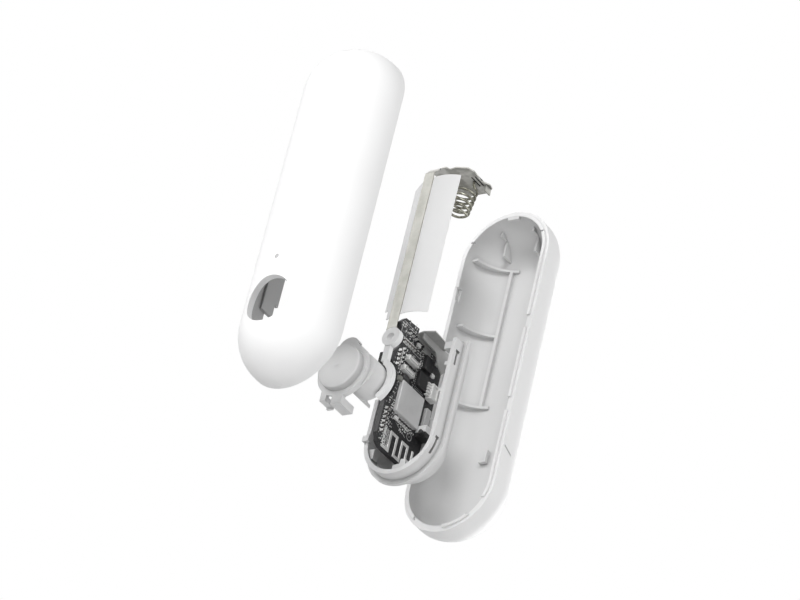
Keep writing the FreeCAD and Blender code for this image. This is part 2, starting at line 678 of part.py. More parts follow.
def carrier():
    run = top_end
    front = -s.rim_front
    flange_front = s.carrier_flange_front
    flange_back = flange_front + s.carrier_flange_thickness
    floor_inner = bowl_depth - s.carrier_wall
    rim = slab("rim_outside", s.rim_half_width, run, front, flange_back)
    ring = cut("rim_ring", rim, slab("rim_hollow", rim_inner, run, front - 1, flange_back + 1))
    side_start = bowl_centre - s.bowl_side_overlap
    flange = slab("carrier_flange", s.carrier_flange_half_width, run, flange_front, flange_back)
    bowl = half_capsule("bowl_outside", s.bowl_radius, run, bowl_centre, True)
    bowl_side = slab("bowl_side", s.bowl_radius, run, side_start, bowl_centre)
    # the bowl and the flange keep to the back shell's inner round and start at the flange's front
    held_round = s.shell_inner_round - s.bowl_gap
    held_width = hollow_half_width - s.fit
    zone = slab("bowl_zone", held_width, run, front - 1, bowl_depth, held_round)
    bowl = overlap("bowl_held", fuse("bowl_whole", [bowl, bowl_side, flange]), zone)
    hollow_radius = s.bowl_radius - s.carrier_wall
    hollow_bowl = half_capsule("bowl_hollow", hollow_radius, run, bowl_centre - 0.01, True)
    hollow_side = slab("bowl_hollow_side", hollow_radius, run, front - 1, bowl_centre)
    hollow_width = held_width - s.carrier_wall
    hollow_zone = slab("hollow_zone", hollow_width, run, front - 2, floor_inner, held_round - s.carrier_wall)
    hollow_bowl = fuse("bowl_hollow_whole", [hollow_bowl, hollow_side])
    hollow_bowl = overlap("bowl_hollow_held", hollow_bowl, hollow_zone)
    ahead = slab("ahead_of_flange", half_width + 1, run, front - 3, flange_front)
    bowl = cut("bowl_behind", bowl, fuse("bowl_hollows", [hollow_bowl, ahead]))
    tray = fuse("carrier_tray", [ring, bowl])
    across = (-half_width, half_width)
    # both side walls end low at the top, the left one far lower
    right_top = low_end + s.right_wall_rise
    left_top = low_end + s.left_wall_rise
    flange_top = low_end + s.right_flange_rise
    open_top = [
        box("open_above", across, (front - 1, s.shell_depth), (flange_top, top_end + half_width)),
        box("open_right", (0, half_width), (front - 1, flange_front), (right_top, top_end)),
        box("open_bowl", (0, half_width), (flange_back, s.shell_depth), (right_top, top_end)),
        box("open_left", (-half_width, 0), (front - 1, s.shell_depth), (left_top, top_end)),
    ]
    # board slot, hook window and the shallow recesses in the outer wall
    slot_x = (board_rear_face - s.board_clearance, s.board_face + s.board_clearance)
    slot_z = (board_bottom - s.board_clearance, top_end)
    open_top.append(box("board_slot", slot_x, (floor_inner - 1.4, s.shell_depth), slot_z))
    open_top.append(box("hook_window", (-0.8, 1.9), (5.5, s.shell_depth), (low_end + 9.7, low_end + 13.5)))
    skin = slab("recess_depth", rim_inner + 0.3, run, front - 1, flange_back)
    recesses = [
        box("low_recess", (5, half_width), (-0.55, 0.1), (low_end - 4.4, low_end - 0.5)),
        box("low_recess_top", (5, half_width), (-0.9, 0.3), (low_end - 1.0, low_end - 0.4)),
        box("high_recess", (5, half_width), (-0.7, -0.1), (low_end + 17.2, low_end + 20.8)),
        box("high_recess_top", (5, half_width), (-0.9, 0.4), (low_end + 20.2, low_end + 20.9)),
    ]
    open_top.append(cut("wall_recesses", fuse("recess_blanks", recesses), skin))
    tray = cut("carrier_cut", tray, fuse("carrier_openings", open_top))
    # shelf, clip and pegs inside the rim, and the locating tab on its left
    shelf = (
        (-0.3, low_end - s.rim_half_width), (-0.3, low_end - 6.8), (1.3, low_end - 6.6), (1.5, low_end - 5.5),
        (2.7, low_end - 5.6), (2.9, low_end - 6.9), (5.1, low_end - 5.4), (7.2, low_end - 3.7),
        (s.rim_half_width, low_end - 3.7), (s.rim_half_width, low_end - s.rim_half_width),
    )
    inner_parts = [
        plate("board_shelf", "XZ_Plane", shelf, -front - 1.4, -front - 0.4),
        box("left_clip", (-half_width, -6.3), (front + 0.6, front + 2.2), (low_end - 4.3, low_end - 1.9)),
        box("left_tooth", (-half_width, -7.2), (front + 0.5, front + 1.9), (low_end + 5.2, low_end + 6.4)),
        box("high_peg", (5.9, half_width), (front + 0.4, front + 2.2), (low_end + 21.2, low_end + 22.9)),
        box("low_peg", (7.0, half_width), (front + 0.4, front + 2.2), (low_end + 17.0, low_end + 17.9)),
        box("edge_peg", (7.2, half_width), (front + 0.3, front + 1.4), (low_end + 10.4, low_end + 11.2)),
    ]
    limit = slab("inner_limit", s.rim_half_width - 0.5, run, front, flange_back)
    inner_parts = overlap("inner_parts_held", fuse("inner_parts", inner_parts), limit)
    tab_x = (-s.rim_half_width - 0.3, -rim_inner + 0.3)
    tab = box("left_tab", tab_x, (front - 0.7, front + 0.4), (low_end - 0.3, low_end + 1.0))
    return node(fuse("carrier_piece", [tray, inner_parts, tab]), "carrier", module_shift)


def circuit_board():
    bottom = board_bottom
    outline = (
        (-8.4, low_end + 24.86),
        (-6.8, low_end + 26.66),
        (-1.8, low_end + 27.06),
        (-1.8, low_end + 25.36),
        (s.board_back - 1, low_end + 24.26),
        (s.board_back, low_end + 23.2),
        (s.board_back, bottom + 2.9),
        (s.board_back - 2.1, bottom),
        (-s.board_front + 2.3, bottom),
        (-s.board_front + 0.7, bottom + 0.8),
        (-s.board_front, bottom + 2.7),
        (-s.board_front, low_end + 5.86),
        (-5.6, low_end + 8.56),
        (-5.2, low_end + 11.56),
        (-5.9, low_end + 14.16),
        (-8.7, low_end + 15.46),
        (-8.8, low_end + 16.86),
        (-6.3, low_end + 20.36),
    )
    board = plate("board_piece", "YZ_Plane", outline, board_rear_face, s.board_face)
    return node(board, "circuit_board", module_shift)


def on_board(label, y, z, height):
    """a block standing on the board's right face, its z from the lower round end's centre"""
    low, high = z
    return box(label, (s.board_face, s.board_face + height), y, (low_end + low, low_end + high))


def group(name, things):
    """separate solids that share one node"""
    thing = doc.addObject("Part::Compound", name + "_group")
    thing.Links = things
    return node(thing, name, module_shift)


def small_row(label, y, z, step, counts):
    """a row of equal small chips, each one step along y and z from the one before"""
    chips = []
    for count in counts:
        along_y = (y[0] + step[0] * count, y[1] + step[0] * count)
        along_z = (z[0] + step[1] * count, z[1] + step[1] * count)
        chips.append(on_board(label, along_y, along_z, s.small_chip_height))
    return chips


def board_parts():
    group("shield_can", [on_board("can", (-3.9, 4.4), (5.2, 12.9), s.can_height)])
    group("radio_module", [on_board("radio", (6.0, inner_limit), (7.16, 11.8), s.module_height)])
    group("controller_chip", [on_board("controller", (0.9, 4.2), (14.5, 18.1), s.chip_height)])
    group("memory_chip", [on_board("memory", (1.9, 4.5), (19.3, 22.6), s.chip_height)])
    group("crystal", [on_board("crystal_can", (-3.9, -1.9), (13.2, 14.5), s.chip_height)])
    group("status_led", [on_board("led", (-5.2, -4.2), (12.2, 13.2), s.chip_height)])
    coils = [on_board("coil", y, (z, z + 1.3), 1.2) for y, z in (((-4.9, -1.0), 14.8), ((-4.2, -0.3), 17.7))]
    group("inductors", coils)
    chips = [(-1.5, 22.9), (5.8, 22.6), (5.2, 19.3), (-3.1, 3.7)]
    white = [on_board("white_chip", (y, y + 1.1), (z, z + 0.8), s.small_chip_height) for y, z in chips]
    group("white_chips", white)
    # small chips in short rows along the board's front and lower edges: first place and step of each row
    rows = [
        small_row("edge_chip", (-6.4, -5.5), (-1.2, -0.7), (0, 1.1), (0, 1, 2, 3, 4, 5)),
        small_row("neck_chip", (-6.0, -5.4), (21.2, 22.1), (0.9, 0), (0, 1, 2, 3, 4)),
        small_row("waist_chip", (-6.5, -5.7), (15.3, 15.8), (0, 1.1), (0, 1, 2, 3)),
    ]
    group("capacitors", sum(rows, []))
    rows = [
        small_row("low_chip", (-1.7, -1.1), (3.9, 4.8), (0.9, 0), (0, 1, 2, 3, 4)),
        small_row("side_chip", (-5.3, -4.4), (16.3, 16.8), (0, 1.1), (0, 1, 2, 3)),
        small_row("top_chip", (-4.9, -4.2), (24.1, 25.0), (1.2, 0), (0, 1, 2)),
    ]
    group("resistors", sum(rows, []))


def pin_connector():
    """a low block with a comb of flat pins on its front"""
    low = low_end + 13.7
    front = 5.3
    tall = s.board_face + s.chip_height * 2
    body = box("header", (s.board_face, tall), (front, inner_limit), (low, low + s.pin_pitch * 5.4))
    group("connector_body", [body])
    pins = []
    across = (s.board_face + s.chip_height, s.board_face + s.chip_height + s.pin_size)
    for share in (0.7, 1.7, 2.7, 3.7, 4.7):
        place = low + s.pin_pitch * share
        along = (place - s.pin_size / 2, place + s.pin_size / 2)
        pins.append(box("pin", across, (front - 0.9, front), along))
    group("connector_pins", pins)


def antenna():
    """a folded trace that runs up and down across the board's lower end"""
    low = low_end - 3.8
    high = low_end + 0.6
    half = s.trace_width / 2
    across = (s.board_face, s.board_face + s.trace_height)
    places = (-2.4, -0.4, 1.6, 3.6, 5.6)
    pieces = [box("trace_leg", across, (place - half, place + half), (low, high)) for place in places]
    for start, end, level in zip(places, places[1:], (high, low, high, low)):
        pieces.append(box("trace_turn", across, (start - half, end + half), (level - half, level + half)))
    pieces.append(box("trace_link", across, (-5.0, places[0] + half), (low - half, low + half)))
    pieces.append(box("trace_feed", across, (-5.0, -5.0 + s.trace_width), (low, high)))
    return node(fuse("antenna_piece", pieces), "antenna", module_shift)


def reed_switch():
    across = (board_rear_face - 2.1, board_rear_face)
    block = box("reed_block", across, (-8.9, -5.2), (low_end + 9.2, low_end + 17.2))
    return group("reed_switch", [block])


def tact_switch():
    front = s.finger_end + s.plunger_gap + 0.8
    across = (s.board_face, s.board_face + s.switch_reach)
    body = box("switch_body", across, (front, inner_limit), (low_end + 3.9, low_end + 6.6))
    place = (s.plunger_side, plunger_height)
    bore = rod("switch_bore", "y", place, s.plunger_radius + s.fit, front - 1, front + 1.4)
    node(cut("switch_piece", body, bore), "tact_switch", module_shift)
    tip = s.finger_end + s.plunger_gap
    group("switch_plunger", [rod("plunger", "y", place, s.plunger_radius, tip, tip + 1.8)])


def positive_contact():
    low = positive_plate
    high = low + s.positive_plate_thickness
    edge = s.board_face
    outline = (
        (edge, 1.0), (-1.2, 0.4), (-1.2, -2.4), (0.7, -2.9), (3.4, -2.3), (3.3, 0.2), (3.0, 2.9),
        (2.4, 5.0), (-1.0, 5.1), (-1.2, 3.5), (edge, 3.5),
    )
    blade = plate("positive_plate", "XY_Plane", outline, low, high)
    foot = box("positive_foot", (edge, edge + s.positive_plate_thickness), (1.0, 3.5), (low - 2.4, high))
    dome = rod("positive_dome", "z", (1.2, 1.4), 1.3, low, high + 0.7)
    side = (
        (-2.6, high), (-2.6, low - 1.4), (2.6, low - 1.7), (4.4, low - 4.1), (6.2, low - 5.2),
        (7.1, low - 4.1), (6.9, high),
    )
    leg = plate("positive_leg", "YZ_Plane", side, 0.5, 0.5 + s.positive_plate_thickness)
    return node(fuse("positive_piece", [blade, foot, dome, leg]), "positive_contact", module_shift)


def negative_contact():
    left = -s.strip_left
    right = left + s.strip_width
    front = -s.strip_front
    inner = front + s.strip_thickness
    low = end_plate - s.end_plate_thickness
    bend = end_plate - s.strip_bend_drop
    plate_edge = -s.plate_front
    outline = (
        (front, strip_low), (inner, strip_low), (inner, bend - 0.1),
        (plate_edge + s.strip_thickness, low), (plate_edge + 0.4, end_plate), (plate_edge, end_plate),
        (front, bend),
    )
    strip = plate("strip", "YZ_Plane", outline, left, right)
    plan = (
        (left, plate_edge + 0.2), (right, plate_edge + 0.2), (-1.9, -7.3), (-0.6, -7.3), (-0.2, -6.3),
        (1.6, -6.6), (4.2, -5.6), (4.9, -4.0), (4.4, -0.4), (5.6, 1.6), (5.2, 2.9), (3.0, 4.0),
        (-1.5, 4.0), (-3.5, 2.2), (left, -1.5),
    )
    top = plate("end_plate", "XY_Plane", plan, low, end_plate)
    slots = []
    for shift in (0.0, 0.9):
        slots.append(box("ear_slot", (2.9 + shift, 3.3 + shift), (-2.4, 1.2), (low - 1, end_plate + 1)))
    ear = box("ear", (4.6, 4.9), (1.0, 3.0), (low - 1.6, end_plate))
    foot_x = (board_rear_face - 0.3, board_rear_face)
    foot = box("strip_foot", foot_x, (front + 0.1, -4.6), (strip_low, strip_low + 1.5))
    top = cut("end_plate_slotted", top, fuse("ear_slots", slots))
    return node(fuse("negative_piece", [strip, top, ear, foot]), "negative_contact", module_shift)


def arc_from(start, way, end):
    """an arc that leaves start along way and ends at end"""
    chord = end - start
    along = FreeCAD.Vector(chord)
    along.normalize()
    aside = way - along * way.dot(along)
    angle = math.atan2(aside.Length, way.dot(along))
    aside.normalize()
    middle = start + chord * 0.5 + aside * (chord.Length / 2 * math.tan(angle / 2))
    return Part.Arc(start, middle, end)


def two_arcs(start, way, end, end_way):
    """two arcs that meet smoothly, from start along way to end along end_way"""
    gap = end - start
    mixed = way + end_way
    spread = 2 * (1 - way.dot(end_way))
    reach = (-gap.dot(mixed) + math.sqrt(gap.dot(mixed) ** 2 + 2 * spread * gap.dot(gap) / 2)) / spread
    joint = (start + way * reach + end - end_way * reach) * 0.5
    middle_way = (end - end_way * reach) - (start + way * reach)
    middle_way.normalize()
    return [arc_from(start, way, joint), arc_from(joint, middle_way, end)]


def spring_point(turn):
    """place and direction on the battery spring, a cone wound down from the end plate"""
    share = turn / s.spring_turns.value
    radius = s.spring_wide_radius.value + (s.spring_narrow_radius.value - s.spring_wide_radius.value) * share
    narrowing = (s.spring_narrow_radius.value - s.spring_wide_radius.value) / s.spring_turns.value
    angle = 2 * math.pi * turn
    top = (end_plate - s.end_plate_thickness).value - s.spring_wire.value * 2.4
    height = top - s.spring_length.value * share
    place = FreeCAD.Vector(radius * math.cos(angle), s.battery_back.value + radius * math.sin(angle), height)
    way = FreeCAD.Vector(
        narrowing * math.cos(angle) - 2 * math.pi * radius * math.sin(angle),
        narrowing * math.sin(angle) + 2 * math.pi * radius * math.cos(angle),
        -s.spring_length.value / s.spring_turns.value,
    )
    way.normalize()
    return place, way


def battery_spring():
    wire = s.spring_wire.value
    under_plate = (end_plate - s.end_plate_thickness).value
    place, way = spring_point(0)
    down = FreeCAD.Vector(0, 0, -1)
    lead_end = FreeCAD.Vector(place.x, place.y - wire * 1.6, under_plate - wire)
    lead_top = FreeCAD.Vector(lead_end.x, lead_end.y, under_plate)
    edges = [Part.LineSegment(lead_top, lead_end).toShape()]
    for arc in two_arcs(lead_end, down, place, way):
        edges.append(arc.toShape())
    quarters = int(round(s.spring_turns.value * 4))
    for quarter in range(quarters):
        start, start_way = spring_point(quarter / 4)
        end, end_way = spring_point((quarter + 1) / 4)
        for arc in two_arcs(start, start_way, end, end_way):
            edges.append(arc.toShape())
    tail = end + end_way * wire
    edges.append(Part.LineSegment(end, tail).toShape())
    path = Part.Wire(edges)
    circle = Part.Circle(lead_top, down, wire / 2)
    profile = Part.Wire([circle.toShape()])
    solid = path.makePipeShell([profile], True, False)
    # least gap between stretches more than half a turn apart
    steps = quarters * 8
    points = [spring_point(step / 32)[0] for step in range(steps + 1)]
    least = min(
        points[first].distanceToPoint(points[second])
        for first in range(steps + 1)
        for second in range(first + 16, steps + 1)
    )
    print("battery spring: least gap between turns %.2f mm" % (least - wire))
    thing = doc.addObject("Part::Feature", "spring_piece")
    thing.Shape = solid
    return node(thing, "battery_spring", module_shift)


def insulating_film():
    """a thin sheet that follows the battery's front and stands off straight on the left"""
    centre = s.battery_back.value
    right = math.radians(s.film_right_angle.value)
    left = math.radians(s.film_left_angle.value)
    inner = s.film_radius.value
    outer = inner + s.film_thickness.value

    def around(radius, angle):
        return FreeCAD.Vector(radius * math.sin(angle), centre - radius * math.cos(angle), film_low.value)

    along = FreeCAD.Vector(-math.cos(left), math.sin(left), 0)
    flat_run = (s.film_left_reach.value - inner * math.sin(left)) / math.cos(left)
    inner_end = around(inner, -left) + along * flat_run
    outer_end = around(outer, -left) + along * flat_run
    edges = [
        Part.Arc(around(inner, right), around(inner, 0), around(inner, -left)).toShape(),
        Part.LineSegment(around(inner, -left), inner_end).toShape(),
        Part.LineSegment(inner_end, outer_end).toShape(),
        Part.LineSegment(outer_end, around(outer, -left)).toShape(),
        Part.Arc(around(outer, -left), around(outer, 0), around(outer, right)).toShape(),
        Part.LineSegment(around(outer, right), around(inner, right)).toShape(),
    ]
    height = film_high.value - film_low.value
    sheet_shape = Part.Face(Part.Wire(edges)).extrude(FreeCAD.Vector(0, 0, height))
    blank = doc.addObject("Part::Feature", "film_blank")
    blank.Shape = sheet_shape
    corner = ((-12, film_high - 5.4), (-4.9, film_high + 1), (-12, film_high + 1))
    trim = plate("film_corner", "XZ_Plane", corner, 0, 12)
    notch = box("film_notch", (-12, 0.9 - s.film_left_reach), (-12, 0), (film_low - 1, film_low + 2.2))
    film = cut("film_piece", blank, fuse("film_trims", [trim, notch]))
    return node(film, "insulating_film", module_shift)


back_shell()
adhesive_pad()
front_cover()
light_pipe()
button_cap()
button_spring_arm()
carrier()
circuit_board()
board_parts()
pin_connector()
antenna()
reed_switch()
tact_switch()
positive_contact()
negative_contact()
battery_spring()
insulating_film()
doc.recompute()

faults = []
for thing in doc.Objects:
    if "Invalid" in thing.State or "Error" in thing.State:
        faults.append(thing.Label + " is " + " ".join(thing.State))
for thing in nodes:
    if thing.Shape.isNull() or not thing.Shape.isValid() or not thing.Shape.Solids:
        faults.append(thing.Label + " has no valid solid")
if faults:
    raise RuntimeError("; ".join(faults))

os.makedirs("parts", exist_ok=True)
for thing in nodes:
    thing.Shape.exportStep(os.path.join("parts", thing.Label + ".step"))
    bounds = thing.Shape.BoundBox
    print("%-18s solids %2d volume %9.2f  x %7.2f %7.2f  y %7.2f %7.2f  z %7.2f %7.2f" % (
        thing.Label, len(thing.Shape.Solids), thing.Shape.Volume,
        bounds.XMin, bounds.XMax, bounds.YMin, bounds.YMax, bounds.ZMin, bounds.ZMax))
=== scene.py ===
# Door and window sensor, taken apart along its depth: finishes, board details, light and camera.
import math

import bpy
import numpy as np
from mathutils import Matrix, Vector


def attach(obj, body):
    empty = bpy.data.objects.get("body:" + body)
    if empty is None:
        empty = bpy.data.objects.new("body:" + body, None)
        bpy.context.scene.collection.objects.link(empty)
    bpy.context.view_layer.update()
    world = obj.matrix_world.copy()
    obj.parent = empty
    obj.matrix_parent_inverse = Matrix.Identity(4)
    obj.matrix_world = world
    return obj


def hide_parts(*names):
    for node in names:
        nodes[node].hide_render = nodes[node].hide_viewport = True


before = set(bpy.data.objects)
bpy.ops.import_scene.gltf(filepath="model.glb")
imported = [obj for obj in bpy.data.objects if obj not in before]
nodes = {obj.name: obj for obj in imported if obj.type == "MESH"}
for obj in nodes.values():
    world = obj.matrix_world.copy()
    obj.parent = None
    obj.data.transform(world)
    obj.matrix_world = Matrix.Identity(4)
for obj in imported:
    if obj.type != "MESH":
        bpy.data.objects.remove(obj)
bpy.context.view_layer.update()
rng = np.random.default_rng(11)
print("loaded", len(nodes), "nodes")


mm = 0.001  # pieces are worked out in millimetres
moduleShift = -29.3  # added along y to a place in the closed case to get its place at rest
boardFace = -1.5  # x of the board's right face, which carries the parts
lowEnd = -29.36  # z of the lower round end's centre


# Small helpers for shader nodes

floatSocket, colourSocket = "NodeSocketFloat", "NodeSocketColor"
noiseSpan = (0.3, 0.7)  # what a noise mostly runs between
mixSockets = {"factor": 0, "first": 6, "second": 7, "result": 2}  # of a Mix node that mixes colours


def addNode(tree, kind, **values):
    made = tree.nodes.new(kind)
    for key, value in values.items():
        setattr(made, key, value)
    return made


def feed(tree, value, socket):
    # a link where the value is another node's output, otherwise the value itself
    if hasattr(value, "links"):
        tree.links.new(value, socket)
    else:
        socket.default_value = value


def opaque(colour):
    # a colour is a triple, or one number for a grey
    return (*colour, 1.0) if isinstance(colour, tuple) else (colour, colour, colour, 1.0)


def mathNode(tree, operation, first, second=None, clamp=False):
    made = addNode(tree, "ShaderNodeMath", operation=operation, use_clamp=clamp)
    feed(tree, first, made.inputs[0])
    if second is not None:
        feed(tree, second, made.inputs[1])
    return made.outputs[0]


def mapRange(tree, value, span, reach=(0.0, 1.0)):
    # the value, carried from its span to its reach and held inside it
    made = addNode(tree, "ShaderNodeMapRange")
    feed(tree, value, made.inputs["Value"])
    for name, number in zip(("From Min", "From Max", "To Min", "To Max"), (*span, *reach)):
        feed(tree, number, made.inputs[name])
    return made.outputs["Result"]


def mixColours(tree, factor, first, second, blend="MIX"):
    # two colours, each of them an output or plain, mixed by the factor
    made = addNode(tree, "ShaderNodeMix", data_type="RGBA", blend_type=blend)
    feed(tree, factor, made.inputs[mixSockets["factor"]])
    for value, side in ((first, "first"), (second, "second")):
        feed(tree, value if hasattr(value, "links") else opaque(value), made.inputs[mixSockets[side]])
    return made.outputs[mixSockets["result"]]


def noise(tree, vector, scale, detail=2.0, roughness=0.5):
    made = addNode(tree, "ShaderNodeTexNoise")
    for name, value in (("Vector", vector), ("Scale", scale), ("Detail", detail), ("Roughness", roughness)):
        feed(tree, value, made.inputs[name])
    return made.outputs["Fac"]


def objectPlace(tree):
    return addNode(tree, "ShaderNodeTexCoord").outputs["Object"]


def splitPlace(tree):
    split = addNode(tree, "ShaderNodeSeparateXYZ")
    feed(tree, objectPlace(tree), split.inputs[0])
    return split.outputs


def startGroup(name, inputs, outputs):
    group = bpy.data.node_groups.new(name, "ShaderNodeTree")
    for label, kind, value in inputs:
        group.interface.new_socket(name=label, in_out="INPUT", socket_type=kind).default_value = value
    for label, kind in outputs:
        group.interface.new_socket(name=label, in_out="OUTPUT", socket_type=kind)
    start = addNode(group, "NodeGroupInput")
    end = addNode(group, "NodeGroupOutput")
    return group, start.outputs, end.inputs


# Shared effects, one node group each. Scales are per metre

plainGrain = 9000.0
surfaceOutputs = [("Colour", colourSocket), ("Roughness", floatSocket), ("Height", floatSocket)]
grain = {"driftScale": 90.0, "driftDetail": 3.0, "fineDetail": 2.0, "fineRoughness": 0.6,
         "fineShare": 0.6}  # how much of the gloss follows the fine grain; the drift has the rest


def buildMouldGrain():
    # the fine spark texture of a mould, with slow drifts of tone and gloss over the wall
    group, given, out = startGroup("mouldGrain", [
        ("Tone", colourSocket, (0.8, 0.8, 0.8, 1)), ("Deep Tone", colourSocket, (0.7, 0.7, 0.7, 1)),
        ("Grain Scale", floatSocket, plainGrain),
        ("Gloss Low", floatSocket, 0.4), ("Gloss High", floatSocket, 0.55),
    ], surfaceOutputs)
    place = objectPlace(group)
    drift = noise(group, place, grain["driftScale"], grain["driftDetail"])
    fine = noise(group, place, given["Grain Scale"], grain["fineDetail"], grain["fineRoughness"])
    blend = mapRange(group, drift, noiseSpan)
    feed(group, mixColours(group, blend, given["Tone"], given["Deep Tone"]), out["Colour"])
    gloss = mathNode(group, "ADD", mathNode(group, "MULTIPLY", fine, grain["fineShare"]),
                     mathNode(group, "MULTIPLY", drift, 1 - grain["fineShare"]))
    reach = (given["Gloss Low"], given["Gloss High"])
    feed(group, mapRange(group, gloss, noiseSpan, reach), out["Roughness"])
    feed(group, fine, out["Height"])
    return group


rolling = {"stretch": (1.0, 1.0, 0.05), "lineDetail": 2.0, "lineRoughness": 0.6,
           "stainScale": 350.0, "stainDetail": 4.0, "stainRoughness": 0.6, "stainSpan": (0.4, 0.75)}


def buildRolledMetal():
    # long rolling lines along one axis, with faint stains
    group, given, out = startGroup("rolledMetal", [
        ("Tone", colourSocket, (0.6, 0.6, 0.6, 1)), ("Stain", colourSocket, (0.4, 0.4, 0.4, 1)),
        ("Line Scale", floatSocket, 4000.0),
        ("Gloss Low", floatSocket, 0.25), ("Gloss High", floatSocket, 0.45),
    ], surfaceOutputs)
    place = objectPlace(group)
    stretch = addNode(group, "ShaderNodeMapping")
    feed(group, place, stretch.inputs["Vector"])
    feed(group, rolling["stretch"], stretch.inputs["Scale"])
    lines = noise(group, stretch.outputs["Vector"], given["Line Scale"], rolling["lineDetail"],
                  rolling["lineRoughness"])
    stains = noise(group, place, rolling["stainScale"], rolling["stainDetail"], rolling["stainRoughness"])
    stained = mapRange(group, stains, rolling["stainSpan"])
    feed(group, mixColours(group, stained, given["Tone"], given["Stain"]), out["Colour"])
    reach = (given["Gloss Low"], given["Gloss High"])
    feed(group, mapRange(group, lines, noiseSpan, reach), out["Roughness"])
    feed(group, lines, out["Height"])
    return group


dotCore = 0.7  # share of a dot's size inside which it is full


def buildSpeckle():
    # scattered small dots, as of vias, flux and glass fibre, as a mask
    group, given, out = startGroup("speckle", [
        ("Dot Scale", floatSocket, 1500.0), ("Dot Size", floatSocket, 0.25),
    ], [("Mask", floatSocket)])
    cells = addNode(group, "ShaderNodeTexVoronoi", feature="F1")
    feed(group, objectPlace(group), cells.inputs["Vector"])
    feed(group, given["Dot Scale"], cells.inputs["Scale"])
    core = mathNode(group, "MULTIPLY", given["Dot Size"], dotCore)
    span = (core, given["Dot Size"])
    feed(group, mapRange(group, cells.outputs["Distance"], span, (1.0, 0.0)), out["Mask"])
    return group


maskEdge = 0.00004  # half the width of the mask's soft edge


def buildHollowMask():
    # the mask where the painted shade of a case's hollow goes
    # 1 inside a stadium or capsule round the z axis, 0 outside:
    # the distance to its middle line against a radius
    group, given, out = startGroup("hollowMask", [
        ("Half Run", floatSocket, 0.029), ("Radius", floatSocket, 0.01),
        ("Depth Start", floatSocket, -1.0), ("Depth Share", floatSocket, 0.0),
    ], [("Mask", floatSocket)])
    place = splitPlace(group)
    beyond = mathNode(group, "SUBTRACT", mathNode(group, "ABSOLUTE", place["Z"]), given["Half Run"])
    beyond = mathNode(group, "MAXIMUM", beyond, 0.0)
    ahead = mathNode(group, "MAXIMUM", mathNode(group, "SUBTRACT", given["Depth Start"], place["Y"]), 0.0)
    ahead = mathNode(group, "MULTIPLY", ahead, given["Depth Share"])
    across, along, deep = [mathNode(group, "POWER", part, 2.0) for part in (place["X"], beyond, ahead)]
    total = mathNode(group, "SQRT", mathNode(group, "ADD", mathNode(group, "ADD", across, along), deep))
    low = mathNode(group, "SUBTRACT", given["Radius"], maskEdge)
    high = mathNode(group, "ADD", given["Radius"], maskEdge)
    feed(group, mapRange(group, total, (low, high), (1.0, 0.0)), out["Mask"])
    return group


crevices = {"samples": 8, "openSpan": (0.35, 0.95)}


def buildCreviceShade():
    # painted shade: a colour times the open share of what lies within reach, so that corners and seams go
    # darker
    group, given, out = startGroup("creviceShade", [
        ("Colour", colourSocket, (0.8, 0.8, 0.8, 1)),
        ("Reach", floatSocket, 0.0015), ("Deepest", floatSocket, 0.7),
    ], [("Colour", colourSocket)])
    around = addNode(group, "ShaderNodeAmbientOcclusion", samples=crevices["samples"])
    feed(group, given["Reach"], around.inputs["Distance"])
    share = mapRange(group, around.outputs["AO"], crevices["openSpan"], (given["Deepest"], 1.0))
    grey = addNode(group, "ShaderNodeCombineColor")
    for channel in grey.inputs:
        feed(group, share, channel)
    feed(group, mixColours(group, 1.0, given["Colour"], grey.outputs[0], "MULTIPLY"), out["Colour"])
    return group


mouldGrain = buildMouldGrain()
creviceShade = buildCreviceShade()
hollowMask = buildHollowMask()
rolledMetal = buildRolledMetal()
speckle = buildSpeckle()
print("shared effects built")


# Materials. Tones are linear greys, depths and reaches are in metres

mouldBump, mouldDepth = 0.25, 0.000004
rollBump, rollDepth = 0.3, 0.000003


def startMaterial(name):
    material = bpy.data.materials.new(name)
    material.use_nodes = True
    tree = material.node_tree
    shader = tree.nodes["Principled BSDF"]
    return material, tree, shader


def place(tree, group, **values):
    made = addNode(tree, "ShaderNodeGroup", node_tree=group)
    for label, value in values.items():
        feed(tree, value, made.inputs[label])
    return made.outputs


def bump(tree, shader, height, strength, distance):
    made = addNode(tree, "ShaderNodeBump")
    made.inputs["Strength"].default_value = strength
    made.inputs["Distance"].default_value = distance
    feed(tree, height, made.inputs["Height"])
    feed(tree, made.outputs["Normal"], shader.inputs["Normal"])


def crevice(tree, colour, reach, deepest):
    # the colour with painted shade, darker in the corners and beside the ribs
    return place(tree, creviceShade, **{"Colour": colour, "Reach": reach, "Deepest": deepest})["Colour"]


def moulded(tree, shader, tone, deepTone, gloss, scale, depth=mouldDepth):
    # roughness and bump of a moulded wall; gives back its colour
    made = place(tree, mouldGrain, **{
        "Tone": opaque(tone), "Deep Tone": opaque(deepTone), "Grain Scale": scale,
        "Gloss Low": gloss[0], "Gloss High": gloss[1]})
    feed(tree, made["Roughness"], shader.inputs["Roughness"])
    bump(tree, shader, made["Height"], mouldBump, depth)
    return made["Colour"]


def rolled(tree, shader, tone, stain, gloss, scale, metallic):
    # roughness, bump and metallic share of rolled sheet; gives back its colour
    made = place(tree, rolledMetal, **{
        "Tone": opaque(tone), "Stain": opaque(stain), "Line Scale": scale,
        "Gloss Low": gloss[0], "Gloss High": gloss[1]})
    feed(tree, made["Roughness"], shader.inputs["Roughness"])
    shader.inputs["Metallic"].default_value = metallic
    bump(tree, shader, made["Height"], rollBump, rollDepth)
    return made["Colour"]


def plastic(name, tone, deepTone, gloss, scale=plainGrain, depth=mouldDepth, paintedShade=None):
    # the last argument gives the reach and the deepest tone of the painted shade in its corners
    material, tree, shader = startMaterial(name)
    colour = moulded(tree, shader, tone, deepTone, gloss, scale, depth)
    feed(tree, crevice(tree, colour, *paintedShade) if paintedShade else colour, shader.inputs["Base Color"])
    return material


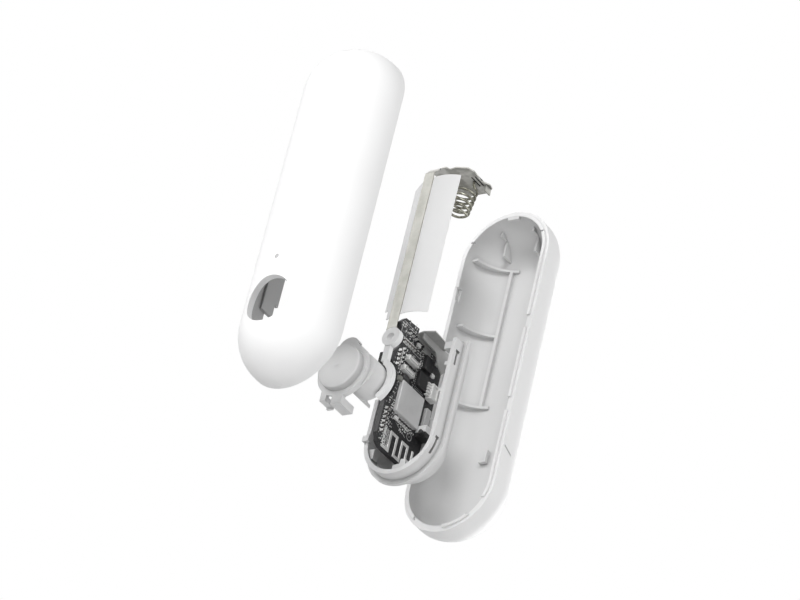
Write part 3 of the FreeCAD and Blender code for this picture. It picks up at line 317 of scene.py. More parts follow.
def metal(name, tone, stain, gloss, scale, metallic):
    material, tree, shader = startMaterial(name)
    feed(tree, rolled(tree, shader, tone, stain, gloss, scale, metallic), shader.inputs["Base Color"])
    return material


solderMask = {
    "fibreScale": 2600.0, "fibreDetail": 4.0, "fibreRoughness": 0.7, "fibreSpan": (0.42, 0.62),
    "tones": ((0.010, 0.010, 0.011), (0.032, 0.032, 0.034)),
    "dotScale": 1900.0, "dotSize": 0.24, "dotShare": 0.35, "dotTone": 0.22,
    "gloss": (0.35, 0.6), "bump": 0.5, "depth": 0.00002,
}


def boardBlack(name):
    # black solder mask with glass fibre showing faintly and scattered dots of flux
    material, tree, shader = startMaterial(name)
    fibre = noise(tree, objectPlace(tree), solderMask["fibreScale"], solderMask["fibreDetail"],
                  solderMask["fibreRoughness"])
    dots = place(tree, speckle, **{
        "Dot Scale": solderMask["dotScale"], "Dot Size": solderMask["dotSize"]})["Mask"]
    base = mixColours(tree, mapRange(tree, fibre, solderMask["fibreSpan"]), *solderMask["tones"])
    share = mathNode(tree, "MULTIPLY", dots, solderMask["dotShare"])
    feed(tree, mixColours(tree, share, base, solderMask["dotTone"]), shader.inputs["Base Color"])
    feed(tree, mapRange(tree, fibre, noiseSpan, solderMask["gloss"]), shader.inputs["Roughness"])
    bump(tree, shader, fibre, solderMask["bump"], solderMask["depth"])
    return material


# the last entry is the reach and deepest tone of the painted shade in the case's corners
caseWall = {"deepShare": 0.985, "gloss": (0.45, 0.6), "scale": 7000.0, "paintedShade": (0.0016, 0.74)}


def hollowShadedPlastic(name, tone, hollowShadeTone, radius, depthStart, depthShare):
    # one plastic whose hollow side is painted greyer, as painted shade inside the hollow.
    # The hollow is given in millimetres
    material, tree, shader = startMaterial(name)
    deepTone = tone * caseWall["deepShare"]
    outside = moulded(tree, shader, tone, deepTone, caseWall["gloss"], caseWall["scale"])
    inside = place(tree, hollowMask, **{
        "Half Run": -lowEnd * mm, "Radius": radius * mm,
        "Depth Start": depthStart * mm, "Depth Share": depthShare})["Mask"]
    colour = mixColours(tree, inside, outside, hollowShadeTone)
    feed(tree, crevice(tree, colour, *caseWall["paintedShade"]), shader.inputs["Base Color"])
    return material


button = {
    "tone": 0.76, "deepTone": 0.73, "gloss": (0.4, 0.52), "scale": 8000.0,
    # y of the painted shade band's two soft edges
    "behindFace": (-0.05535, -0.05500), "beforeFlange": (-0.05380, -0.05362),
    # the last entry is the reach and deepest tone of the painted shade in the button's corners
    "shadeShare": 0.7, "shadeTone": 0.50, "paintedShade": (0.0012, 0.72),
}


def buttonFinish(name):
    # light grey, with a painted shade band round the head between its face and the flange, where the head's
    # side wall falls in shade
    material, tree, shader = startMaterial(name)
    colour = moulded(tree, shader, button["tone"], button["deepTone"], button["gloss"], button["scale"])
    depth = splitPlace(tree)["Y"]
    behindFace = mapRange(tree, depth, button["behindFace"])
    beforeFlange = mapRange(tree, depth, button["beforeFlange"], (1.0, 0.0))
    shadeBand = mathNode(tree, "MULTIPLY", behindFace, beforeFlange)
    shadeBand = mathNode(tree, "MULTIPLY", shadeBand, button["shadeShare"])
    colour = mixColours(tree, shadeBand, colour, button["shadeTone"])
    feed(tree, crevice(tree, colour, *button["paintedShade"]), shader.inputs["Base Color"])
    return material


strip = {"tone": (0.47, 0.465, 0.43), "stain": (0.36, 0.355, 0.32), "gloss": (0.4, 0.55), "scale": 3000.0,
         "metallic": 0.35}
upperPlate = {"from": (0.0346, 0.0350), "patchScale": 350.0, "patchSpan": (0.42, 0.58),
              # the last entry is the reach and deepest tone of the painted shade in the upper plate's corners
              "tones": ((0.55, 0.545, 0.51), (0.85, 0.84, 0.81)), "paintedShade": (0.0015, 0.12)}


def contactFinish(name):
    # a beige nickel strip whose upper plate is paler, with sharp stains and painted shade in its corners
    material, tree, shader = startMaterial(name)
    lower = rolled(tree, shader, strip["tone"], strip["stain"], strip["gloss"], strip["scale"],
                   strip["metallic"])
    spots = noise(tree, objectPlace(tree), upperPlate["patchScale"])
    patches = mapRange(tree, spots, upperPlate["patchSpan"])
    upper = crevice(tree, mixColours(tree, patches, *upperPlate["tones"]), *upperPlate["paintedShade"])
    high = mapRange(tree, splitPlace(tree)["Z"], upperPlate["from"])
    feed(tree, mixColours(tree, high, lower, upper), shader.inputs["Base Color"])
    return material


switch = {"tone": 0.92, "deepTone": 0.84, "gloss": (0.35, 0.5), "scale": 9000.0,
          "lowTone": 0.03, "split": ((lowEnd + 4.95) * mm, (lowEnd + 5.05) * mm)}


def switchFinish(name):
    # a pale pressed cover above the split, black plastic below it
    material, tree, shader = startMaterial(name)
    colour = moulded(tree, shader, switch["tone"], switch["deepTone"], switch["gloss"], switch["scale"])
    high = mapRange(tree, splitPlace(tree)["Z"], switch["split"])
    feed(tree, mixColours(tree, high, switch["lowTone"], colour), shader.inputs["Base Color"])
    return material


recipes = {
    # plastic: tone, deeper tone, roughness from and to, grain scale, grain depth, painted shade in corners
    # (reach and deepest tone).
    # metal: tone, stain, roughness from and to, line scale, metallic share.
    # hollow plastic: tone, tone of the painted shade inside the hollow, then the hollow's radius, where it
    # begins to round and by how much
    "coverWhite": (hollowShadedPlastic, 0.93, 0.45, 10.15, -70.4, 1.0),
    "shellWhite": (hollowShadedPlastic, 0.92, 0.76, 10.32, -1000.0, 0.0),
    "padFoam": (plastic, (0.62, 0.62, 0.61), (0.52, 0.52, 0.51), (0.8, 0.95), 2500.0, 0.00006),
    "clearPlastic": (plastic, (0.30, 0.31, 0.31), 0.26, (0.08, 0.14)),
    "buttonGrey": (buttonFinish,),
    "armGrey": (plastic, 0.88, 0.85, (0.4, 0.52), 8000.0, mouldDepth, (0.0012, 0.6)),
    "carrierGrey": (plastic, 0.76, 0.73, (0.4, 0.55), 8000.0, mouldDepth, (0.0015, 0.5)),
    "boardBlack": (boardBlack,),
    "shieldSteel": (metal, 0.80, 0.74, (0.45, 0.6), 3500.0, 0.2),
    "moduleSteel": (metal, 0.60, 0.54, (0.45, 0.6), 3500.0, 0.2),
    "crystalSteel": (metal, 0.10, 0.06, (0.4, 0.55), 3500.0, 0.35),
    "chipBlack": (plastic, (0.030, 0.030, 0.032), (0.02, 0.02, 0.021), (0.5, 0.7), 12000.0, 0.00001),
    "chipMark": (plastic, 0.12, 0.09, (0.5, 0.7), 12000.0),
    "ledWhite": (plastic, (0.30, 0.30, 0.28), (0.22, 0.22, 0.2), (0.2, 0.3)),
    "coilCeramic": (plastic, (0.88, 0.88, 0.87), (0.80, 0.80, 0.79), (0.35, 0.5), plainGrain, 0.00001),
    "ceramicBrown": (plastic, (0.17, 0.16, 0.15), (0.10, 0.09, 0.085), (0.35, 0.5), plainGrain, 0.00001),
    "resistorBlack": (plastic, 0.05, 0.03, (0.3, 0.45)),
    "connectorWhite": (plastic, (0.95, 0.95, 0.94), (0.88, 0.88, 0.87), (0.4, 0.5)),
    "traceSilver": (metal, (0.85, 0.85, 0.84), (0.6, 0.6, 0.59), (0.4, 0.55), 4000.0, 0.3),
    "solder": (metal, (0.90, 0.90, 0.89), (0.6, 0.6, 0.59), (0.3, 0.45), 4000.0, 0.4),
    "chipWhite": (plastic, (1.0, 1.0, 0.99), (0.97, 0.97, 0.96), (0.3, 0.4)),
    "dullSilver": (metal, 0.45, 0.25, (0.45, 0.6), 4000.0, 0.3),
    "boardPrint": (plastic, 0.62, 0.45, (0.5, 0.6)),
    "switchTwoTone": (switchFinish,),
    "deepBlack": (plastic, 0.004, 0.002, (0.6, 0.75)),
    "plungerBlack": (plastic, 0.05, 0.035, (0.4, 0.55)),
    "stripSteel": (contactFinish,),
    "plateSteel": (metal, (0.50, 0.50, 0.495), (0.40, 0.40, 0.395), (0.5, 0.65), 3000.0, 0.2),
    "springSteel": (metal, (0.42, 0.415, 0.35), (0.08, 0.075, 0.05), (0.18, 0.3), 3000.0, 0.9),
    "filmWhite": (plastic, 0.95, 0.93, (0.55, 0.65), 5000.0),
}
finishes = {name: build(name, *facts) for name, (build, *facts) in recipes.items()}

nodeFinish = {
    "front_cover": "coverWhite", "back_shell": "shellWhite", "adhesive_pad": "padFoam",
    "light_pipe": "clearPlastic", "button_cap": "buttonGrey", "button_spring_arm": "armGrey",
    "carrier": "carrierGrey", "circuit_board": "boardBlack", "shield_can": "shieldSteel",
    "radio_module": "moduleSteel", "controller_chip": "chipBlack", "memory_chip": "chipBlack",
    "crystal": "crystalSteel", "status_led": "ledWhite", "inductors": "coilCeramic",
    "white_chips": "chipWhite", "capacitors": "ceramicBrown",
    "resistors": "resistorBlack", "connector_body": "connectorWhite", "connector_pins": "connectorWhite",
    "antenna": "traceSilver", "reed_switch": "deepBlack", "tact_switch": "switchTwoTone",
    "switch_plunger": "plungerBlack", "positive_contact": "plateSteel", "negative_contact": "stripSteel",
    "battery_spring": "springSteel", "insulating_film": "filmWhite",
}
for nodeName, finishName in nodeFinish.items():
    piece = nodes[nodeName]
    if not piece.material_slots:
        piece.data.materials.append(None)
    for holder in piece.material_slots:
        holder.material = finishes[finishName]
print("finishes on", len(nodeFinish), "nodes; not named:", sorted(set(nodes) - set(nodeFinish)))


# Surfaces made from whole arrays of points

creaseAngle = 35  # degrees between two faces past which their edge is sharp


def makePiece(name, shape, finish):
    # one mesh from an array of points and a list of index arrays, each with one corner count
    points, faces = shape
    mesh = bpy.data.meshes.new(name)
    corners = np.concatenate([block.ravel() for block in faces])
    counts = np.concatenate([np.full(len(block), block.shape[1]) for block in faces])
    mesh.vertices.add(len(points))
    mesh.vertices.foreach_set("co", ((points + (0, moduleShift, 0)) * mm).astype(np.float32).ravel())
    mesh.loops.add(len(corners))
    mesh.loops.foreach_set("vertex_index", corners.astype(np.int32))
    mesh.polygons.add(len(counts))
    starts = np.concatenate([[0], np.cumsum(counts)[:-1]])
    mesh.polygons.foreach_set("loop_start", starts.astype(np.int32))
    mesh.polygons.foreach_set("loop_total", counts.astype(np.int32))
    mesh.polygons.foreach_set("use_smooth", np.ones(len(counts), bool))
    mesh.update(calc_edges=True)
    mesh.validate()
    mesh.materials.append(finishes[finish])
    piece = bpy.data.objects.new(name, mesh)
    bpy.context.scene.collection.objects.link(piece)
    mesh.set_sharp_from_angle(angle=math.radians(creaseAngle))
    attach(piece, "electronics")
    return piece


def gridFaces(rows, columns, closed=True):
    # quads between neighbouring rings of a grid of rows x columns points
    row = np.arange(rows - 1)[:, None]
    column = np.arange(columns if closed else columns - 1)[None, :]
    after = (column + 1) % columns
    return np.stack([row * columns + column, row * columns + after,
                     (row + 1) * columns + after, (row + 1) * columns + column], axis=-1).reshape(-1, 4)


def roundedRing(halfU, halfV, corner, steps):
    # outline of a rounded rectangle: each corner is a quarter circle with the given number of steps
    turns = np.linspace(0, math.pi / 2, steps)
    angle = np.concatenate([turns + quarter * math.pi / 2 for quarter in range(4)])
    signU = np.repeat([1, -1, -1, 1], steps)
    signV = np.repeat([1, 1, -1, -1], steps)
    u = signU * (halfU - corner) + corner * np.cos(angle)
    v = signV * (halfV - corner) + corner * np.sin(angle)
    return u, v


leastCorner = 0.3  # share of a block's corner radius that is left where its top is drawn in


def blocks(centres, halves, profile, corner, steps, turn=None, base=boardFace):
    # many rounded blocks standing on the board: rings of a rounded rectangle, drawn in and raised.
    # centres and halves are (count, 2) arrays along y and z; the profile is (inset, height) pairs
    centres, halves = np.atleast_2d(centres).astype(float), np.atleast_2d(halves).astype(float)
    halves = np.broadcast_to(halves, centres.shape)
    profile = np.asarray(profile, float)
    count, levels, around = len(centres), len(profile), 4 * steps
    inset = profile[:, 0]
    radius = np.maximum(corner - inset, leastCorner * corner)[None, :, None]
    halfU, halfV = [halves[:, side, None, None] - inset[None, :, None] for side in (0, 1)]
    u, v = roundedRing(halfU, halfV, radius, steps)
    if turn is not None:
        bend = np.broadcast_to(np.asarray(turn, float), (count,))[:, None, None]
        u, v = u * np.cos(bend) - v * np.sin(bend), u * np.sin(bend) + v * np.cos(bend)
    points = np.empty((count, levels, around, 3))
    points[..., 0] = base + profile[None, :, 1, None]
    points[..., 1] = centres[:, 0, None, None] + u
    points[..., 2] = centres[:, 1, None, None] + v
    shift = (np.arange(count) * levels * around)[:, None, None]
    sides = (gridFaces(levels, around)[None] + shift).reshape(-1, 4)
    top = (np.arange(around)[None, None, :] + (levels - 1) * around + shift).reshape(-1, around)
    return points.reshape(-1, 3), [sides, top]


def joined(parts):
    # several (points, faces) as one
    points, faces, count = [], [], 0
    for some, groups in parts:
        points.append(some)
        faces.extend(block + count for block in groups)
        count += len(some)
    return np.concatenate(points), faces


traceSection = ((-0.5, 0.0), (-0.4, 1.0), (0.4, 1.0), (0.5, 0.0))  # shares of the width and of the height
sharpestMitre = 0.5  # keeps the outer corner of a tight bend from running out far


def ribbon(path, width, height, base=boardFace, closed=False):
    # a flat raised trace along a path of (y, z) points, its section a low trapezium, mitred at the bends
    path = np.asarray(path, float)
    ahead = np.diff(path, axis=0)
    if closed:
        ahead = np.vstack([ahead, path[:1] - path[-1:]])
    ahead /= np.linalg.norm(ahead, axis=1)[:, None]
    side = np.stack([-ahead[:, 1], ahead[:, 0]], axis=1)
    if closed:
        before, after = np.roll(side, 1, axis=0), side
    else:
        before, after = np.vstack([side[:1], side]), np.vstack([side, side[-1:]])
    mitre = before + after
    mitre /= np.maximum((mitre * before).sum(1), sharpestMitre)[:, None]
    across, rise = np.array(traceSection).T * np.array([[width], [height]])
    points = np.empty((len(path), len(across), 3))
    points[..., 0] = base + rise[None, :]
    points[..., 1:] = path[:, None, :] + mitre[:, None, :] * across[None, :, None]
    rows = len(path) + 1 if closed else len(path)
    faces = gridFaces(rows, len(across), closed=False)[:, ::-1]
    if closed:
        faces = faces % (len(path) * len(across))
    return points.reshape(-1, 3), [faces]


ringSteps = {"around": 14, "over": 5}


def rings(centres, radius, width, height, base=boardFace):
    # flat raised rings, their section the upper half of an ellipse
    centres = np.atleast_2d(centres)
    around, over = ringSteps["around"], ringSteps["over"]
    turns = np.linspace(0, 2 * math.pi, around, endpoint=False)
    arc = np.linspace(0, math.pi, over)
    reach = radius - np.cos(arc) * width / 2
    points = np.empty((len(centres), over, around, 3))
    points[..., 0] = base + np.sin(arc)[None, :, None] * height
    points[..., 1] = centres[:, 0, None, None] + reach[None, :, None] * np.cos(turns)
    points[..., 2] = centres[:, 1, None, None] + reach[None, :, None] * np.sin(turns)
    shift = (np.arange(len(centres)) * over * around)[:, None, None]
    return points.reshape(-1, 3), [(gridFaces(over, around)[None, :, ::-1] + shift).reshape(-1, 4)]


def insidePolygon(spots, polygon):
    # which spots lie inside a polygon: crossings of a ray with every edge, all at once
    start = np.asarray(polygon, float)
    end = np.roll(start, -1, axis=0)
    y, z = spots[:, 0, None], spots[:, 1, None]
    spans = (start[:, 1] > z) != (end[:, 1] > z)
    rise = np.where(end[:, 1] == start[:, 1], 1e-9, end[:, 1] - start[:, 1])  # a level edge is never crossed
    cross = start[:, 0] + (z - start[:, 1]) * (end[:, 0] - start[:, 0]) / rise
    return (spans & (y < cross)).sum(1) % 2 == 1


# Board details, in the closed case's millimetres, (y, z) on the board's right face

# shares of the edge's width and of the height
capProfile = ((0.0, 0.0), (0.0, 0.78), (0.22, 0.94), (0.5, 1.0), (1.0, 1.0))
chipCorner = 0.06
cornerSteps = 2  # points round each corner of the smallest blocks


def profileOf(height, edge):
    # a wall with a rounded upper edge
    shares = np.array(capProfile)
    return np.stack([shares[:, 0] * edge, shares[:, 1] * height], axis=1)


def chips(name, centres, halves, height, edge, finish, turn=None):
    shape = blocks(centres, halves, profileOf(height, edge), chipCorner, cornerSteps, turn)
    makePiece(name, shape, finish)


lids = {
    "can": {
        "node": "shield_can", "finish": "shieldSteel", "slot": "shield_steel", "corner": 0.3,
        "centre": (0.25, lowEnd + 9.05), "half": (4.15, 3.85), "height": 0.9, "edge": 0.16,
        "marks": ((-3.5, 3.2), (3.5, -3.2)),  # from the centre
    },
    "radio": {
        "node": "radio_module", "finish": "moduleSteel", "slot": "module_steel", "corner": 0.2,
        "centre": (6.85, lowEnd + 9.48), "half": (0.85, 2.32), "height": 0.8, "edge": 0.14, "marks": (),
    },
    "crystal": {
        "node": "crystal", "finish": "crystalSteel", "slot": "module_steel", "corner": 0.3,
        "centre": (-2.9, lowEnd + 13.85), "half": (1.0, 0.65), "height": 0.8, "edge": 0.18, "marks": (),
    },
}
lidTop = {"steps": 5, "insets": (0.10, 0.16, 0.22), "sink": 0.03}
lidMark = {"radius": 0.22, "width": 0.08, "height": 0.02}
canFeet = {"reach": 3.2, "count": 6, "out": 3.93, "half": (0.35, 0.12), "height": 0.16, "edge": 0.05}


def buildLid(name, facts):
    # a drawn metal lid: wall, rounded edge, a shallow step inside the rim of the top, and pressed marks
    centre, height, edge, steps = facts["centre"], facts["height"], facts["edge"], lidTop["steps"]
    sunk = height - lidTop["sink"]
    turns = np.linspace(0, math.pi / 2, steps)
    inset = np.concatenate([[0.0], edge * (1 - np.cos(turns)), edge + np.array(lidTop["insets"])])
    level = np.concatenate([[0.0], height - edge * (1 - np.sin(turns)), [height, sunk, sunk]])
    parts = [blocks([centre], [facts["half"]], np.stack([inset, level], axis=1), facts["corner"], steps)]
    if facts["marks"]:
        parts.append(rings(np.array(centre) + facts["marks"], **lidMark, base=boardFace + sunk))
    lid = makePiece(name + "Lid", joined(parts), facts["finish"])
    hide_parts(facts["node"])


def buildLids():
    for name, facts in lids.items():
        buildLid(name, facts)
    # the folded feet along the can's upper and lower walls
    y, z = lids["can"]["centre"]
    along = y + np.linspace(-canFeet["reach"], canFeet["reach"], canFeet["count"])
    feet = np.concatenate([np.stack([along, np.full(canFeet["count"], z + side * canFeet["out"])], axis=1)
                           for side in (-1, 1)])
    chips("canFeet", feet, canFeet["half"], canFeet["height"], canFeet["edge"], "shieldSteel")


coils = {
    "places": ((-2.95, lowEnd + 15.45), (-2.25, lowEnd + 18.35)), "half": (1.95, 0.65), "height": 1.2,
    "edge": 0.2, "corner": 0.12, "steps": 3,
    "markInset": (0.45, 0.28), "markCorner": 0.15, "markWidth": 0.07, "markHeight": 0.03, "markSink": 0.005,
    "endInset": 0.22, "endHalf": 0.25, "endProud": (0.02, 0.015), "endEdge": 0.16, "endCorner": 0.1,
}


def buildCoils():
    # each coil: a ceramic block with a bevelled top, end caps a little proud and an embossed line on top
    places, half, height, steps = np.array(coils["places"]), coils["half"], coils["height"], coils["steps"]
    block = blocks(places, half, profileOf(height, coils["edge"]), coils["corner"], steps)
    body = makePiece("coilBodies", block, "coilCeramic")
    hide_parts("inductors")
    outline = roundedRing(*np.subtract(half, coils["markInset"]), coils["markCorner"], steps)
    marks = [ribbon(np.stack(outline, axis=1) + spot, coils["markWidth"], coils["markHeight"],
                    boardFace + height - coils["markSink"], closed=True) for spot in places]
    makePiece("coilMarks", joined(marks), "chipBlack")
    ends = np.concatenate([places + (side * (half[0] - coils["endInset"]), 0) for side in (-1, 1)])
    wider, higher = coils["endProud"]
    caps = blocks(ends, (coils["endHalf"], half[1] + wider), profileOf(height + higher, coils["endEdge"]),
                  coils["endCorner"], steps)
    makePiece("coilEnds", caps, "solder")


smallChips = {
    # name of the CAD node it gives end caps to: first centre, step, count, half size
    "capacitors": [((-5.95, -30.31), (0, 1.1), 6, (0.45, 0.25)), ((-5.7, -7.71), (0.9, 0), 5, (0.3, 0.45)),
                   ((-6.1, -13.81), (0, 1.1), 4, (0.4, 0.25))],
    "resistors": [((-1.4, -25.01), (0.9, 0), 5, (0.3, 0.45)), ((-4.85, -12.81), (0, 1.1), 4, (0.45, 0.25)),
                  ((-4.55, -4.81), (1.2, 0), 3, (0.35, 0.45))],
}
endCap = {"inset": 0.1, "proud": 0.015, "half": 0.12, "height": 0.47, "edge": 0.08}
solderFoot = {"reach": 1.25, "wider": 0.07, "corner": 0.08,  # reach as a share of the cap's
              "profile": ((0, 0), (0.02, 0.03), (0.07, 0.07), (0.10, 0.16))}


def buildEndCaps():
    # bright end caps on the small chips, a little proud of the ceramic, each with a foot of solder
    caps, feet, capHalves, feetHalves = [], [], [], []
    for rows in smallChips.values():
        for start, step, count, half in rows:
            spots = np.array(start) + np.arange(count)[:, None] * np.array(step)
            lengthways = 0 if half[0] > half[1] else 1
            reach = np.zeros(2)
            reach[lengthways] = half[lengthways] - endCap["inset"]
            capHalf = np.array(half) + endCap["proud"]
            capHalf[lengthways] = endCap["half"]
            for side in (-1, 1):
                caps.append(spots + side * reach)
                capHalves.append(np.repeat(capHalf[None], count, axis=0))
                feet.append(spots + side * reach * solderFoot["reach"])
                feetHalves.append(np.repeat(capHalf[None] + solderFoot["wider"], count, axis=0))
    chips("endCaps", np.concatenate(caps), np.concatenate(capHalves), endCap["height"], endCap["edge"],
          "solder")
    solder = blocks(np.concatenate(feet), np.concatenate(feetHalves), solderFoot["profile"],
                    solderFoot["corner"], cornerSteps)
    makePiece("solderFeet", solder, "solder")


legRows = (
    # first leg, step, count, half size: the controller's four sides and the memory's two
    ((0.75, -14.5), (0, 0.5), 7, (0.16, 0.1)), ((4.35, -14.5), (0, 0.5), 7, (0.16, 0.1)),
    ((1.2, -15.0), (0.5, 0), 6, (0.1, 0.14)), ((1.2, -11.12), (0.5, 0), 6, (0.1, 0.14)),
    ((1.75, -9.7), (0, 0.5), 6, (0.16, 0.1)), ((4.65, -9.7), (0, 0.5), 6, (0.16, 0.1)),
)
legSize = {"height": 0.09, "edge": 0.03}
chipTops = {
    "level": boardFace + 0.8,
    "dots": ((1.5, -14.4), (2.3, -9.6)), "dot": {"radius": 0.16, "width": 0.12, "height": 0.02},
    "frames": (((1.45, 1.6), (2.55, -13.06)), ((1.12, 1.45), (3.2, -8.41))),  # half size and middle
    "frameCorner": 0.1, "frameLine": {"width": 0.05, "height": 0.015},
}


def buildLegs():
    spots, halves = [], []
    for start, step, count, half in legRows:
        spots.append(np.array(start) + np.arange(count)[:, None] * np.array(step))
        halves.append(np.repeat([half], count, axis=0))
    chips("chipLegs", np.concatenate(spots), np.concatenate(halves), legSize["height"], legSize["edge"],
          "dullSilver")
    # a dot beside the first leg and a fine frame near the edge of each chip's top
    level = chipTops["level"]
    frames = [ribbon(np.stack(roundedRing(*half, chipTops["frameCorner"], cornerSteps), axis=1) + middle,
                     **chipTops["frameLine"], base=level, closed=True) for half, middle in chipTops["frames"]]
    dots = rings(chipTops["dots"], **chipTops["dot"], base=level)
    makePiece("chipMarks", joined([dots, *frames]), "chipMark")


# areas crowded with fine parts: outline, and how many tries it gets
crowded = {
    "tongue": (((-7.9, -4.9), (-7.2, -3.3), (-5.7, -2.6), (-2.7, -2.8), (-2.3, -4.3), (-2.6, -6.9),
                (-6.2, -7.4)), 260),
    "lowerLeft": (((-7.3, -25.2), (-4.6, -22.6), (-2.6, -24.0), (-3.1, -27.2), (-3.6, -31.5), (-4.6, -33.2),
                   (-7.0, -32.2), (-7.3, -30.0)), 700),
    "besideCan": (((-7.6, -14.0), (-6.6, -9.6), (-4.6, -9.4), (-4.2, -16.2), (-4.3, -23.2), (-7.6, -23.6),
                   (-6.4, -19.0)), 380),
    "upperRight": (((-2.2, -7.4), (-1.2, -4.8), (1.2, -4.6), (4.2, -5.2), (5.2, -7.0), (4.9, -9.0),
                    (1.6, -10.4), (0.3, -8.4)), 170),
    "underCan": (((-2.2, -24.6), (4.3, -24.4), (4.3, -26.8), (1.4, -27.6), (-1.5, -26.6)), 140),
    "betweenCoils": (((-5.0, -9.2), (-1.4, -9.0), (0.6, -10.6), (0.6, -16.0), (-4.0, -16.2), (-4.3, -12.0)),
                     140),
}
# footprints kept clear: middle and half sizes
takenPlaces = np.array([
    (0.25, -20.31, 4.4, 4.2), (6.85, -19.88, 1.0, 2.5), (2.55, -13.06, 2.1, 2.2), (3.2, -8.41, 1.7, 1.9),
    (-2.9, -15.51, 1.1, 0.8), (-2.95, -13.91, 2.1, 0.8), (-2.25, -11.01, 2.1, 0.8), (-4.7, -16.66, 0.6, 0.6),
    (6.3, -24.1, 1.5, 1.5), (-0.95, -6.06, 0.65, 0.5), (6.35, -6.36, 0.65, 0.5), (5.75, -9.66, 0.65, 0.5),
    (-2.55, -25.26, 0.65, 0.5), (-5.95, -27.56, 0.6, 3.1), (-3.9, -7.71, 2.2, 0.6), (-6.1, -12.16, 0.55, 2.0),
    (0.4, -25.01, 2.2, 0.6), (-4.85, -11.16, 0.6, 2.0), (-3.35, -4.81, 1.7, 0.6), (1.6, -31.0, 4.6, 2.7),
    (3.25, -26.42, 1.5, 1.1),
])
# front edge of the board as (z, y) points, and how far the fine parts keep from it
frontEdge = np.array([
    (-34, -5.8), (-33, -6.64), (-31.2, -7.3), (-23.5, -7.3), (-21, -5.74), (-18, -5.23), (-15.5, -5.82),
    (-14, -8.53), (-12.5, -8.8), (-9, -6.31), (-4.5, -8.4), (-3, -7.08), (-2.5, -4.55),
])
edgeMargin = 0.45
fineParts = {
    "gap": 0.42, "turnSpread": 0.03,
    "upTo": {"chip": 0.42, "pad": 0.68, "via": 0.84},  # a draw from 0 to 1 picks the kind; above, a trace
    "chipHalf": (0.22, 0.12), "chipHeight": 0.13, "growth": (0.85, 1.5),
    "endReach": 0.2, "endHalf": (0.09, 0.14), "endHeight": 0.15, "edge": 0.04,
    "padHalf": (0.08, 0.2), "padHeight": 0.03, "padEdge": 0.02,
    "via": {"radius": 0.13, "width": 0.09, "height": 0.025},
    "traceLength": (0.5, 1.2), "traceBend": 0.35, "trace": {"width": 0.07, "height": 0.02},
}


def scattered(gap):
    # tries at random, thinned: out of the taken footprints, and none nearer than the gap to an earlier one
    found = []
    for outline, tries in crowded.values():
        corners = np.array(outline)
        spots = rng.uniform(corners.min(0), corners.max(0), (tries, 2))
        spots = spots[insidePolygon(spots, corners)]
        away = np.abs(spots[:, None] - takenPlaces[None, :, :2]) > takenPlaces[None, :, 2:]
        onBoard = spots[:, 0] > np.interp(spots[:, 1], frontEdge[:, 0], frontEdge[:, 1]) + edgeMargin
        found.append(spots[away.any(2).all(1) & onBoard])
    spots = np.concatenate(found)
    near = np.linalg.norm(spots[:, None] - spots[None], axis=2) < gap
    return spots[~np.tril(near, -1).any(1)]


def buildFineParts():
    # the smallest chips with bright ends, bare pads, vias and short traces between them
    facts, upTo = fineParts, fineParts["upTo"]
    spots = scattered(facts["gap"])
    kind = rng.random(len(spots))
    quarter = rng.integers(0, 2, len(spots)) * math.pi / 2 + rng.normal(0, facts["turnSpread"], len(spots))
    chipSpots, chipTurn = spots[kind < upTo["chip"]], quarter[kind < upTo["chip"]]
    growth = rng.uniform(*facts["growth"], len(chipSpots))[:, None]
    chips("fineChips", chipSpots, growth * facts["chipHalf"], facts["chipHeight"], facts["edge"],
          "chipBlack", chipTurn)
    reach = np.stack([np.cos(chipTurn), np.sin(chipTurn)], axis=1) * growth * facts["endReach"]
    ends = np.concatenate([chipSpots - reach, chipSpots + reach])
    chips("fineEnds", ends, np.tile(growth, (2, 1)) * facts["endHalf"], facts["endHeight"], facts["edge"],
          "solder", np.tile(chipTurn, 2))
    pads = spots[(kind >= upTo["chip"]) & (kind < upTo["pad"])]
    padHalves = rng.uniform(*facts["padHalf"], (len(pads), 2))
    chips("finePads", pads, padHalves, facts["padHeight"], facts["padEdge"], "dullSilver")
    vias = rings(spots[(kind >= upTo["pad"]) & (kind < upTo["via"])], **facts["via"])
    makePiece("vias", vias, "dullSilver")
    starts = spots[kind >= upTo["via"]]
    heading = rng.integers(0, 4, len(starts)) * math.pi / 4
    along = np.stack([np.cos(heading), np.sin(heading)], axis=1)
    length = rng.uniform(*facts["traceLength"], len(starts))[:, None]
    bent = np.stack([along[:, 0] - along[:, 1], along[:, 0] + along[:, 1]], axis=1) * facts["traceBend"]
    traces = [ribbon([one, one + two, one + two + three], **facts["trace"])
              for one, two, three in zip(starts, along * length, bent)]
    makePiece("fineTraces", joined(traces), "dullSilver")
    print("fine parts on the board:", len(spots))


printed = (
    # light outlines and lines on the board, as (y, z) paths
    ((-2.3, -8.4), (1.4, -8.4), (1.4, -9.4)),
    ((1.05, -12.3), (0.55, -12.3), (0.55, -10.4)),
    ((1.1, -15.4), (4.4, -15.4), (4.4, -15.0)),
    ((-1.9, -24.5), (2.9, -26.1)),
    ((-2.2, -25.9), (1.9, -27.4)),
    ((-7.4, -6.9), (-7.4, -5.2), (-6.4, -3.6), (-3.2, -3.6)),
    ((-6.6, -6.9), (-3.0, -6.9), (-2.6, -5.2)),
)
printLine = {"width": 0.12, "height": 0.012}
ringMark = {"centre": (3.25, -26.42), "ring": {"radius": 0.85, "width": 0.16, "height": 0.015},
            "dot": {"radius": 0.1, "width": 0.1, "height": 0.015}}
dottedLine = {"from": (-1.74, -24.6), "to": (2.3, -25.7), "count": 11,
              "dot": {"radius": 0.06, "width": 0.05, "height": 0.012}}


